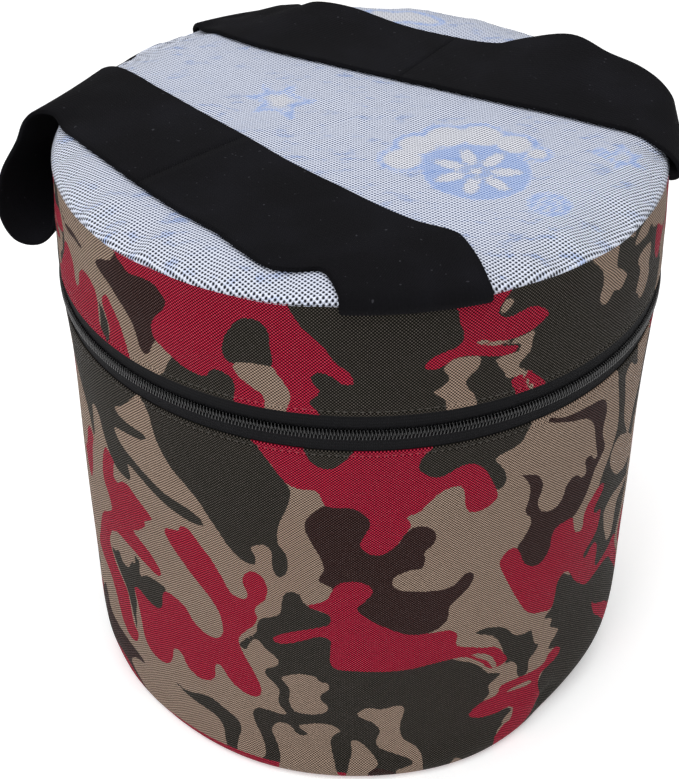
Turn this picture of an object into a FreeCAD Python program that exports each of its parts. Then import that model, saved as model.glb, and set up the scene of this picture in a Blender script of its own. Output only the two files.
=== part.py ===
import FreeCAD, Part
import math
import os

# Soft round drum bag: a padded tub, a padded lid hinged on a cloth panel at the back, a coil
# zipper between them and two flat carry handles sewn into the seam round the top of the lid.
# Millimetres. Origin at the centre of the underside, +Z up, +Y towards the back hinge.

V = FreeCAD.Vector

# ---- driving dimensions ----
bag_radius = 141.0        # outside of the wall at the zipper
rim_taper = 3.0           # how much smaller the outside of the lid is at its top seam
tub_height = 220.0        # floor to the zipper's middle
lid_depth = 61.0          # zipper's middle to the top seam
dome_rise = 6.0           # crown of the top panel above the top seam
fabric = 1.0              # printed oxford cloth with its backing
wall_foam = 6.0           # foam in the walls
bottom_foam = 6.0         # foam in the floor of the bag
lid_foam = 8.0            # foam under the top panel
lining = 0.6              # inner lining
layer_gap = 0.2           # between one cloth layer and the next

zip_reveal = 9.0          # zipper's middle to the folded edge of the cloth
tape_half = 15.0          # zipper's middle to the sewn edge of its tape
tape_edge = 1.9           # zipper's middle to the free edge of the tape
tape = 0.6                # tape thickness
coil_height = 2.7         # one side's coil, up from the zipper's middle
coil_depth = 2.2          # one side's coil, out from the tape
coil_part = 0.15          # half of the gap between the two closed coils
coil_seat = 0.1           # coil above its tape
coil_short_deg = 2.0      # coils end this much before the tapes do
hinge_half_deg = 30.0     # half of the arc that the back hinge panel takes
hinge_trim_deg = 0.1      # between the panel and the ends of the tapes
stitch = 0.5              # topstitching thread
stitch_lift = 0.05        # thread above the cloth
stitch_inset = 2.5        # folded edge to its topstitching

binding_height = 8.0      # seam binding up from the floor of the bag, or down from the lid
binding = 1.6             # seam binding thickness

slider_length = 13.0
slider_half_height = 5.25
slider_plate = 1.1
slider_clear = 0.4        # round the coils and the tapes
slider_park_deg = 125.0   # where the slider stands when the bag is shut
divider_half = 1.5        # half height of the post that parts the coils
divider_length = 2.4
divider_clear = 1.0       # parked divider to the first turn of the coils
crown_bar = 0.9           # radius of the bar that holds the pull tab
crown_span = 9.0          # length of that bar
pull_eye = 2.4            # outer radius of the pull tab's eye
pull_running = 0.2        # clearance of the eye on the bar
pull_width = 6.0
pull_eye_width = 4.0
pull_length = 28.0
pull_thick = 1.5

handle_width = 60.0
handle_thick = 2.4
handle_lift_off = 0.4     # handle's underside above the top panel
front_handle_deg = 132.0  # direction in which the front handle crosses the lid
front_handle_in = 58.0    # its middle line, in from the rim, on the left of that direction
back_handle_deg = 151.0   # and the back handle's direction
back_handle_in = 65.0     # its middle line, in from the rim, on the right of that direction
grip_short = 5.0          # the stretch that a hand lifts ends this much short of the rim
handle_joint = 0.3        # gap where that stretch meets the sewn ends
front_loop_deg = 148.0    # the way the slack of the front handle hangs out over the rim
front_loop_side = 48.0    # middle of that slack, sideways from the centre of the lid
back_loop_deg = -8.0
back_loop_side = 14.0
loop_lap = 20.0           # slack loop lies on the lid for this much inside the rim
loop_clear = 3.0          # slack loop's inner run, middle of the cloth, out from the wall

# ---- places worked out from them ----
rim_radius = bag_radius - rim_taper
rim_height = tub_height + lid_depth
fold_low = tub_height - zip_reveal
fold_high = tub_height + zip_reveal
tape_low = tub_height - tape_half
tape_high = tub_height + tape_half
tape_out = bag_radius - fabric - layer_gap
tape_in = tape_out - tape
foam_out = tape_out
foam_in = foam_out - wall_foam
lining_out = foam_in - layer_gap
lining_in = lining_out - lining
floor_top = fabric + bottom_foam + lining + 2 * layer_gap
lid_slope = (rim_radius - bag_radius) / (rim_height - tape_high)
coil_in = tape_out + coil_seat
coil_out = coil_in + coil_depth
zip_start_deg = 90.0 + hinge_half_deg
zip_arc_deg = 360.0 - 2 * hinge_half_deg


def band_radius(z, inset):
    """Radius of the lid's band at height z: straight beside the zipper, then slightly tapered."""
    return bag_radius + lid_slope * max(0.0, z - tape_high) - inset


def turned(outline, start_deg=0.0, arc_deg=360.0):
    """Solid made by turning a closed outline of (radius, height) points about the bag's axis."""
    points = [V(r, 0, z) for r, z in outline]
    face = Part.Face(Part.makePolygon(points + points[:1]))
    solid = face.revolve(V(0, 0, 0), V(0, 0, 1), arc_deg)
    solid.rotate(V(0, 0, 0), V(0, 0, 1), start_deg)
    return solid


def tube(inner, outer, low, high, start_deg=0.0, arc_deg=360.0):
    return turned([(inner, low), (outer, low), (outer, high), (inner, high)], start_deg, arc_deg)


def disc(radius, low, high):
    return Part.makeCylinder(radius, high - low, V(0, 0, low))


def line(start, end):
    """Straight edge between two (radius, height) points."""
    return Part.LineSegment(V(start[0], 0, start[1]), V(end[0], 0, end[1])).toShape()


def crown(radius, edge, rise):
    """Arc of a ball's outline, from the axis at edge + rise out to radius at the height edge."""
    ball = (radius ** 2 + rise ** 2) / (2 * rise)
    half_way = edge + rise - ball + math.sqrt(ball ** 2 - radius ** 2 / 4)
    return Part.Arc(V(radius, 0, edge), V(radius / 2, 0, half_way), V(0, 0, edge + rise)).toShape()


def about_axis(edges):
    return Part.Face(Part.Wire(edges)).revolve(V(0, 0, 0), V(0, 0, 1), 360)


def crowned_disc(radius, low, edge, rise):
    """Solid disc with a crowned top."""
    return about_axis([line((0, low), (radius, low)), line((radius, low), (radius, edge)),
                       crown(radius, edge, rise), line((0, edge + rise), (0, low))])


def crowned_shell(radius, edge, rise, thick, drop):
    """Crowned cloth disc of even thickness whose edge turns down by drop, outside radius."""
    outer = radius + thick
    top = edge + thick
    low = edge - drop
    return about_axis([crown(radius, edge, rise), line((0, edge + rise), (0, top + rise)),
                       crown(outer, top, rise), line((outer, top), (outer, low)),
                       line((outer, low), (radius, low)), line((radius, low), (radius, edge))])


def lid_band(inset, thick, low, high):
    """Ring that follows the slight taper of the lid's band."""
    outside_low = band_radius(low, inset)
    outside_high = band_radius(high, inset)
    return turned([(outside_low - thick, low), (outside_low, low),
                   (outside_high, high), (outside_high - thick, high)])


# ---- tub ----
def body_outer_panel():
    return tube(bag_radius - fabric, bag_radius, fabric, fold_low)


def body_foam_wall():
    return tube(foam_in, foam_out, fabric + layer_gap, tape_low - lining - 2 * layer_gap)


def body_lining():
    """Lining up the inside of the wall, turned out over the foam to meet the zipper tape."""
    top = tape_low - layer_gap
    return turned([(lining_in, floor_top + layer_gap), (lining_out, floor_top + layer_gap),
                   (lining_out, top - lining), (foam_out, top - lining),
                   (foam_out, top), (lining_in, top)])


def bottom_panel():
    return disc(bag_radius, 0, fabric)


def bottom_foam_pad():
    return disc(foam_in - layer_gap, fabric + layer_gap, fabric + layer_gap + bottom_foam)


def bottom_lining():
    return disc(foam_in - layer_gap, floor_top - lining, floor_top)


def bottom_seam_binding():
    outside = lining_in - layer_gap
    return tube(outside - binding, outside, floor_top, floor_top + binding_height)


# ---- lid ----
def lid_side_panel():
    return turned([(bag_radius - fabric, fold_high), (bag_radius, fold_high),
                   (bag_radius, tape_high), (rim_radius, rim_height),
                   (rim_radius - fabric, rim_height), (bag_radius - fabric, tape_high)])


def lid_band_foam():
    return lid_band(fabric + layer_gap, wall_foam, tape_high + lining + 2 * layer_gap,
                    rim_height - fabric - layer_gap)


def lid_inside_radius(z):
    return band_radius(z, fabric + wall_foam + 2 * layer_gap)


def lid_lining_low():
    return rim_height - fabric - lid_foam - 2 * layer_gap


def lid_band_lining():
    """Lining of the lid's wall, turned out under the foam to meet the zipper tape."""
    low = tape_high + layer_gap
    top = lid_lining_low() - lining - layer_gap
    inner_low = lid_inside_radius(low) - lining
    inner_top = lid_inside_radius(top) - lining
    outer_low = band_radius(low, fabric + layer_gap)
    return turned([(inner_low, low), (outer_low, low), (outer_low, low + lining),
                   (inner_low + lining, low + lining), (inner_top + lining, top),
                   (inner_top, top)])


def lid_top_panel():
    """Crowned cloth disc sewn to the top edge of the lid's band."""
    return crowned_shell(rim_radius - fabric, rim_height + layer_gap, dome_rise, fabric,
                         layer_gap)


def lid_top_foam():
    radius = lid_inside_radius(rim_height)
    return crowned_disc(radius, lid_lining_low(), rim_height - layer_gap, dome_rise - layer_gap)


def lid_top_lining():
    high = lid_lining_low() - layer_gap
    return disc(lid_inside_radius(rim_height), high - lining, high)


def lid_rim_binding():
    high = lid_lining_low() - lining - 2 * layer_gap
    outside = lid_inside_radius(high) - lining - layer_gap
    return tube(outside - binding, outside, high - binding_height, high)


# ---- zipper ----
def zip_tape(side):
    edges = sorted([tub_height + side * tape_edge, tub_height + side * tape_half])
    return tube(tape_in, tape_out, edges[0], edges[1], zip_start_deg, zip_arc_deg)


def zip_coil(side):
    """One side's coil, from just past the divider of the parked slider round to the far end."""
    edges = sorted([tub_height + side * coil_part, tub_height + side * coil_height])
    past_divider = slider_length / 2 - divider_length - divider_clear
    start = slider_park_deg - math.degrees(past_divider / bag_radius)
    arc = zip_start_deg + zip_arc_deg - coil_short_deg - start
    return tube(coil_in, coil_out, edges[0], edges[1], start, arc)


def topstitch(side):
    """Thread ring on the cloth beside the folded edge."""
    z = tub_height + side * (zip_reveal + stitch_inset)
    return tube(bag_radius + stitch_lift, bag_radius + stitch_lift + stitch, z - stitch / 2,
                z + stitch / 2)


def back_hinge_panel():
    """Cloth panel behind the folded edges, between the two ends of the zipper."""
    half = hinge_half_deg - hinge_trim_deg
    return tube(tape_in, tape_out, tape_low, tape_high, 90.0 - half, 2 * half)


def at_slider(shape):
    """From the slider's own frame (X out, Y along the zipper, Z up) to its parked place."""
    shape.translate(V(0, 0, tub_height))
    shape.rotate(V(0, 0, 0), V(0, 0, 1), slider_park_deg)
    return shape


def block(r_low, r_high, along_low, along_high, z_low, z_high):
    return Part.makeBox(r_high - r_low, along_high - along_low, z_high - z_low,
                        V(r_low, along_low, z_low))


plate_low = coil_out + slider_clear
plate_high = plate_low + slider_plate
bar_radius_place = plate_high + pull_eye + slider_clear


def slider_body():
    half = slider_length / 2
    channel = coil_height + slider_clear
    flange_low = tape_out + slider_clear
    back_high = tape_in - slider_clear
    shape = block(plate_low, plate_high, -half, half, -slider_half_height, slider_half_height)
    back = block(back_high - slider_plate, back_high, -half, half,
                 -slider_half_height, slider_half_height)
    divider = block(back_high - slider_plate, plate_high, -half, -half + divider_length,
                    -divider_half, divider_half)
    pieces = [back, divider]
    for side in (-1, 1):
        low, high = sorted([side * channel, side * slider_half_height])
        pieces.append(block(flange_low, plate_low, -half, half, low, high))
    bar = Part.makeCylinder(crown_bar, crown_span, V(bar_radius_place, -crown_span / 2, 0),
                            V(0, 1, 0))
    pieces.append(bar)
    for side in (-1, 1):
        foot_middle = side * (crown_span / 2 - crown_bar)
        pieces.append(block(plate_high - 0.2, bar_radius_place, foot_middle - crown_bar,
                            foot_middle + crown_bar, -crown_bar, crown_bar))
    return at_slider(shape.multiFuse(pieces).removeSplitter())


def pull_tab():
    """Flat tab that hangs from the bar on the slider by a round eye."""
    eye = Part.makeCylinder(pull_eye, pull_eye_width,
                            V(bar_radius_place, -pull_eye_width / 2, 0), V(0, 1, 0))
    neck = block(bar_radius_place - pull_thick / 2, bar_radius_place + pull_thick / 2,
                 -pull_eye_width / 2, pull_eye_width / 2, -pull_eye - 3.0, -crown_bar)
    leaf = block(bar_radius_place - pull_thick / 2, bar_radius_place + pull_thick / 2,
                 -pull_width / 2, pull_width / 2, -pull_length, -pull_eye - 2.0)
    edges = [e for e in leaf.Edges if abs(e.BoundBox.XLength - pull_thick) < 1e-6]
    leaf = leaf.makeFillet(pull_width * 0.3, edges)
    hole = Part.makeCylinder(crown_bar + pull_running, pull_eye_width + 2,
                             V(bar_radius_place, -pull_eye_width / 2 - 1, 0), V(0, 1, 0))
    shape = eye.multiFuse([neck, leaf]).cut(hole)
    return at_slider(shape.removeSplitter())


# ---- handles ----
handle_low = rim_height + layer_gap + fabric + handle_lift_off


def handle_layer():
    """Crowned layer over the lid, as thick as a handle, turned down over the rim to the seam."""
    return crowned_shell(rim_radius + handle_lift_off, handle_low, dome_rise, handle_thick,
                         fabric + layer_gap + handle_lift_off)


def handle_strip(direction_deg, offset, start, end):
    """The part of that layer inside a straight strip that crosses the lid."""
    strip = Part.makeBox(end - start, handle_width, 60,
                         V(start, offset - handle_width / 2, rim_height - 30))
    strip.rotate(V(0, 0, 0), V(0, 0, 1), direction_deg)
    return handle_layer().common(strip)


def slack_loop(direction_deg, sideways, route):
    """Flat strap through route, points (outward, up from the rim), as wide as the handle."""
    middle = Part.BSplineCurve()
    middle.interpolate([V(out, 0, rim_height + up) for out, up in route])
    samples = 24
    first, last = middle.FirstParameter, middle.LastParameter
    sides = {-1: [], 1: []}
    for i in range(samples + 1):
        at = first + (last - first) * i / samples
        tangent = middle.tangent(at)[0]
        normal = V(-tangent.z, 0, tangent.x)
        for side in sides:
            sides[side].append(middle.value(at) + normal * (side * handle_thick / 2))
    edges = []
    for side in (-1, 1):
        curve = Part.BSplineCurve()
        curve.interpolate(sides[side])
        edges.append(curve.toShape())
    ends = [Part.LineSegment(sides[-1][i], sides[1][i]).toShape() for i in (0, -1)]
    wire = Part.Wire(Part.__sortEdges__(edges + ends))
    loop = Part.Face(wire).extrude(V(0, handle_width, 0))
    loop.translate(V(0, sideways - handle_width / 2, 0))
    loop.rotate(V(0, 0, 0), V(0, 0, 1), direction_deg)
    return loop


loop_start = rim_radius - loop_lap
loop_out = bag_radius + loop_clear


def middle_line(inset):
    """Distance of a handle's middle line from the centre of the lid."""
    return rim_radius - inset


def grip_half(inset):
    """Half length of the stretch that a hand lifts, all of it inside the rim."""
    outer_edge = middle_line(inset) + handle_width / 2
    return math.sqrt(rim_radius ** 2 - outer_edge ** 2) - grip_short


front_off = middle_line(front_handle_in)
front_half = grip_half(front_handle_in)
back_off = -middle_line(back_handle_in)
back_half = grip_half(back_handle_in)
past_rim = 2 * rim_radius


def handle_front_grip():
    return handle_strip(front_handle_deg, front_off, -front_half, front_half)


def handle_front_tab():
    return handle_strip(front_handle_deg, front_off, -past_rim, -front_half - handle_joint)


def handle_front_loop():
    """Left end: over the rim, down in a slack loop outside the band and up to the seam."""
    flat = handle_strip(front_handle_deg, front_off, front_half + handle_joint, past_rim)
    route = [(loop_start, 6.0), (loop_out - 8, 5.0), (loop_out + 7, -2.0), (loop_out + 11, -18.0),
             (loop_out + 9, -34.0), (loop_out + 3, -39.0), (loop_out - 2, -32.0),
             (loop_out - 1.5, -17.0), (loop_out - 1.5, -3.0)]
    return flat.fuse(slack_loop(front_loop_deg, front_loop_side, route)).removeSplitter()


def handle_back_grip():
    return handle_strip(back_handle_deg, back_off, -back_half, back_half)


def handle_back_tab():
    return handle_strip(back_handle_deg, back_off, back_half + handle_joint, past_rim)


def handle_back_loop():
    """Right end: bulges out over the rim and comes back to the seam."""
    flat = handle_strip(back_handle_deg, back_off, -past_rim, -back_half - handle_joint)
    route = [(loop_start, 5.5), (loop_out - 8, 7.0), (loop_out + 6, 6.0), (loop_out + 8, -2.0),
             (loop_out + 1, -5.0)]
    return flat.fuse(slack_loop(back_loop_deg, back_loop_side, route)).removeSplitter()


parts = {
    "body_outer_panel": body_outer_panel(),
    "body_foam_wall": body_foam_wall(),
    "body_lining": body_lining(),
    "bottom_panel": bottom_panel(),
    "bottom_foam_pad": bottom_foam_pad(),
    "bottom_lining": bottom_lining(),
    "bottom_seam_binding": bottom_seam_binding(),
    "lid_side_panel": lid_side_panel(),
    "lid_band_foam": lid_band_foam(),
    "lid_band_lining": lid_band_lining(),
    "lid_top_panel": lid_top_panel(),
    "lid_top_foam": lid_top_foam(),
    "lid_top_lining": lid_top_lining(),
    "lid_rim_binding": lid_rim_binding(),
    "zip_tape_lower": zip_tape(-1),
    "zip_tape_upper": zip_tape(1),
    "zip_coil_lower": zip_coil(-1),
    "zip_coil_upper": zip_coil(1),
    "topstitch_lower": topstitch(-1),
    "topstitch_upper": topstitch(1),
    "back_hinge_panel": back_hinge_panel(),
    "slider_body": slider_body(),
    "pull_tab": pull_tab(),
    "handle_front_grip": handle_front_grip(),
    "handle_front_tab": handle_front_tab(),
    "handle_front_loop": handle_front_loop(),
    "handle_back_grip": handle_back_grip(),
    "handle_back_tab": handle_back_tab(),
    "handle_back_loop": handle_back_loop(),
}

os.makedirs("parts", exist_ok=True)
for name, shape in parts.items():
    shape.exportStep(os.path.join("parts", name + ".step"))
    box = shape.BoundBox
    print(f"{name:22s} solids {len(shape.Solids)} valid {shape.isValid()} "
          f"volume {shape.Volume:10.1f} x {box.XMin:.1f} {box.XMax:.1f} "
          f"y {box.YMin:.1f} {box.YMax:.1f} z {box.ZMin:.1f} {box.ZMax:.1f}")
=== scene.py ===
"""Looks of a round padded drum bag: printed camouflage cloth, a spacer mesh top, two black handles.

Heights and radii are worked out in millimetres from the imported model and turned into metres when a
mesh is made. Angles are degrees round the bag's axis, with -90 at the front and 90 at the hinge.
"""
import math

import bmesh
import bpy
import numpy as np
from mathutils import Matrix, Vector
from mathutils.bvhtree import BVHTree


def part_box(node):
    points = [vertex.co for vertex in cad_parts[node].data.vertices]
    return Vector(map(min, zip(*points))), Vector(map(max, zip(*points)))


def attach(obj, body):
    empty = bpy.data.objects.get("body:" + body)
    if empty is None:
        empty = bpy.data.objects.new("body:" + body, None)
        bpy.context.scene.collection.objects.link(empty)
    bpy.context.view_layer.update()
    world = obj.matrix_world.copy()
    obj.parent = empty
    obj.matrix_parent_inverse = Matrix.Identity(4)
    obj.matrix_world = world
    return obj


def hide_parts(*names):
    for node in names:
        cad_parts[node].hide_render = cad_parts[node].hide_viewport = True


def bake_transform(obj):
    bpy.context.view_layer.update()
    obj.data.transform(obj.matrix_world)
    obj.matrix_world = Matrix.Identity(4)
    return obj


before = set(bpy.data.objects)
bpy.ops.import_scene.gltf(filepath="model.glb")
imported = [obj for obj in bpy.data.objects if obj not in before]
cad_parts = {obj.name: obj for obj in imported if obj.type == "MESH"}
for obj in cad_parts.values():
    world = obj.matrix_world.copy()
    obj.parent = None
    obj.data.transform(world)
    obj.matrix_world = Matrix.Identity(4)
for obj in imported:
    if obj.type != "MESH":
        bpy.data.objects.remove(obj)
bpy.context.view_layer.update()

MM = 0.001


# ---- sizes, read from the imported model, in millimetres ----
def span(node, axis):
    """Lowest and highest place of a node along an axis."""
    low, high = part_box(node)
    return low[axis] / MM, high[axis] / MM


X, Z = 0, 2
bag_radius = span("body_outer_panel", X)[1]
fold_low = span("body_outer_panel", Z)[1]
fold_high, rim_height = span("lid_side_panel", Z)
rim_radius = span("lid_top_panel", X)[1]
tape_low, tape_edge_low = span("zip_tape_lower", Z)
tape_edge_high, tape_high = span("zip_tape_upper", Z)
tape_out = span("zip_tape_lower", X)[1]
zip_height = (tape_edge_low + tape_edge_high) / 2
coil_out = span("zip_coil_lower", X)[1]
foam_low, foam_high = span("body_foam_wall", Z)
foam_out = span("body_foam_wall", X)[1]
pad_radius = span("bottom_foam_pad", X)[1]
pad_low, pad_high = span("bottom_foam_pad", Z)
floor_lining_low, floor_top = span("bottom_lining", Z)
lining_top = span("body_lining", Z)[1]
binding_out = span("bottom_seam_binding", X)[1]
binding_top = span("bottom_seam_binding", Z)[1]
lid_foam_low, lid_foam_high = span("lid_top_foam", Z)
lid_foam_radius = span("lid_top_foam", X)[1]
lid_lining_low = span("lid_top_lining", Z)[0]
lid_band_low = span("lid_band_foam", Z)[0]
lid_binding_low, lid_binding_top = span("lid_rim_binding", Z)
lid_binding_out = span("lid_rim_binding", X)[1]
lid_wall_lining_top = span("lid_band_lining", Z)[1]
cloth_thick = 1.0
print_sheet = cloth_thick - 0.3
lining_thick = 0.6
tape_thick = 0.6
binding_thick = 1.6
binding_edge = 0.5
foam_edge = 1.2
lining_end = 0.3
print_columns = 448
tape_columns = 300
lining_columns = 240
foam_columns = 180
layer_gap = 0.2
wall_foam = foam_out - pad_radius - layer_gap
hinge_half_deg = math.degrees(math.asin(span("back_hinge_panel", X)[1] / tape_out))


# ---- small tools ----
def smooth(x):
    """Gentle step from 0 to 1."""
    x = np.clip(x, 0.0, 1.0)
    return x * x * (3 - 2 * x)


def turn_to(angle):
    """Angle wrapped into -180 to 180."""
    return (np.asarray(angle) + 180.0) % 360.0 - 180.0


def hill(angle, z, at_deg, at_z, wide_deg, tall, high):
    """Smooth bulge, or a dent where high is negative, on the wall round one place."""
    return high * np.exp(-(turn_to(angle - at_deg) / wide_deg) ** 2 - ((z - at_z) / tall) ** 2)


def polar(radius, angle, z):
    """Points from radius, angle round the bag's axis, and height."""
    a = np.radians(angle)
    return np.stack([radius * np.cos(a), radius * np.sin(a), z + 0.0 * a], -1)


def curve_through(points, steps, closed=False):
    """Points on a smooth curve through the given ones, with steps to each span."""
    p = np.asarray(points, float)
    n = len(p)
    if closed:
        before, after = np.roll(p, 1, 0), np.roll(p, -1, 0)
        after2 = np.roll(p, -2, 0)
        spans = n
    else:
        padded = np.concatenate([[2 * p[0] - p[1]], p, [2 * p[-1] - p[-2]]])
        before, p, after, after2 = padded[:-3], padded[1:-2], padded[2:-1], padded[3:]
        spans = n - 1
    t = (np.arange(steps) / steps)[None, :, None]
    a, b, c, d = (q[:spans, None, :] for q in (before, p, after, after2))
    out = 0.5 * (2 * b + (c - a) * t + (2 * a - 5 * b + 4 * c - d) * t ** 2
                 + (3 * b - a - 3 * c + d) * t ** 3)
    out = out.reshape(-1, out.shape[-1])
    if not closed:
        out = np.concatenate([out, after[-1:]])
    return out


# ---- the bag's soft shape ----
def lobe(angle, at_deg, wide_deg):
    """1 at one place round the bag, falling away smoothly on both sides of it."""
    return np.exp(-(turn_to(angle - at_deg) / wide_deg) ** 2)


# Each bulge or dent of the tub's wall: its place in degrees and mm up, its reach in degrees and
# mm, and how far it stands out in mm.
WALL_HILLS = (
    (-97, 5, 24, 9, 3.9), (-141, 22, 3.5, 12, -1.3), (-133, 14, 3, 9, -1.0),
    (-152, 36, 4, 20, 1.2), (-124, 30, 5, 16, 0.8), (-47, 15, 3.2, 9, -3.0),
    (-52, 24, 4, 12, 1.4), (-100, 120, 34, 70, 1.3), (-150, 55, 30, 50, 2.2),
    (-44, 30, 9, 24, -1.4), (-34, 34, 26, 27, 3.0), (-64, 6, 17, 12, 3.2),
    (-152, 20, 24, 32, 2.3), (-62, 120, 14, 50, -0.9), (40, 90, 30, 60, 1.2),
    (120, 140, 26, 40, -1.2))
corner_rise = 27.0
front_rise = 3.4
wall_fade = 34.0


def wall_push(angle, z):
    """How far the wall of the tub stands out from a true cylinder, in mm."""
    corner = 2.8 + 4.6 * lobe(angle, -34, 22)
    corner = corner - 1.2 * lobe(angle, -145, 18) - 2.4 * lobe(angle, -103, 30)
    push = -corner * np.clip((corner_rise - z) / corner_rise, 0, 1) ** 2
    push = push - 0.7 * lobe(angle, -104, 32) * np.clip((front_rise - z) / front_rise, 0, 1)
    for place in WALL_HILLS:
        push = push + hill(angle, z, *place)
    a = np.radians(angle)
    push = push + 0.45 * np.sin(5 * a + z / 31) + 0.3 * np.sin(9 * a - z / 23 + 1.0)
    return push * smooth((fold_low - z) / wall_fade)


def seam_line(angle):
    """Rise and fall of the seam round the top of the lid, in mm."""
    a = np.radians(angle)
    return 0.5 * np.sin(4 * a + 0.6) + 0.35 * np.sin(11 * a) + 0.2 * np.sin(23 * a + 2.0)


def band_radius(angle, z):
    """Radius of the lid's band: straight beside the zipper, then slightly tapered and uneven."""
    up = np.clip((z - tape_high) / (rim_height - tape_high), 0, 1)
    a = np.radians(angle)
    wave = 0.4 * np.sin(6 * a + z / 17) + 0.3 * np.sin(13 * a - z / 11)
    soft = wave * np.sin(np.pi * up) + hill(angle, z, -118, 258, 16, 14, 0.8)
    return bag_radius - (bag_radius - rim_radius) * up + soft * smooth(up * 3)


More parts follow.
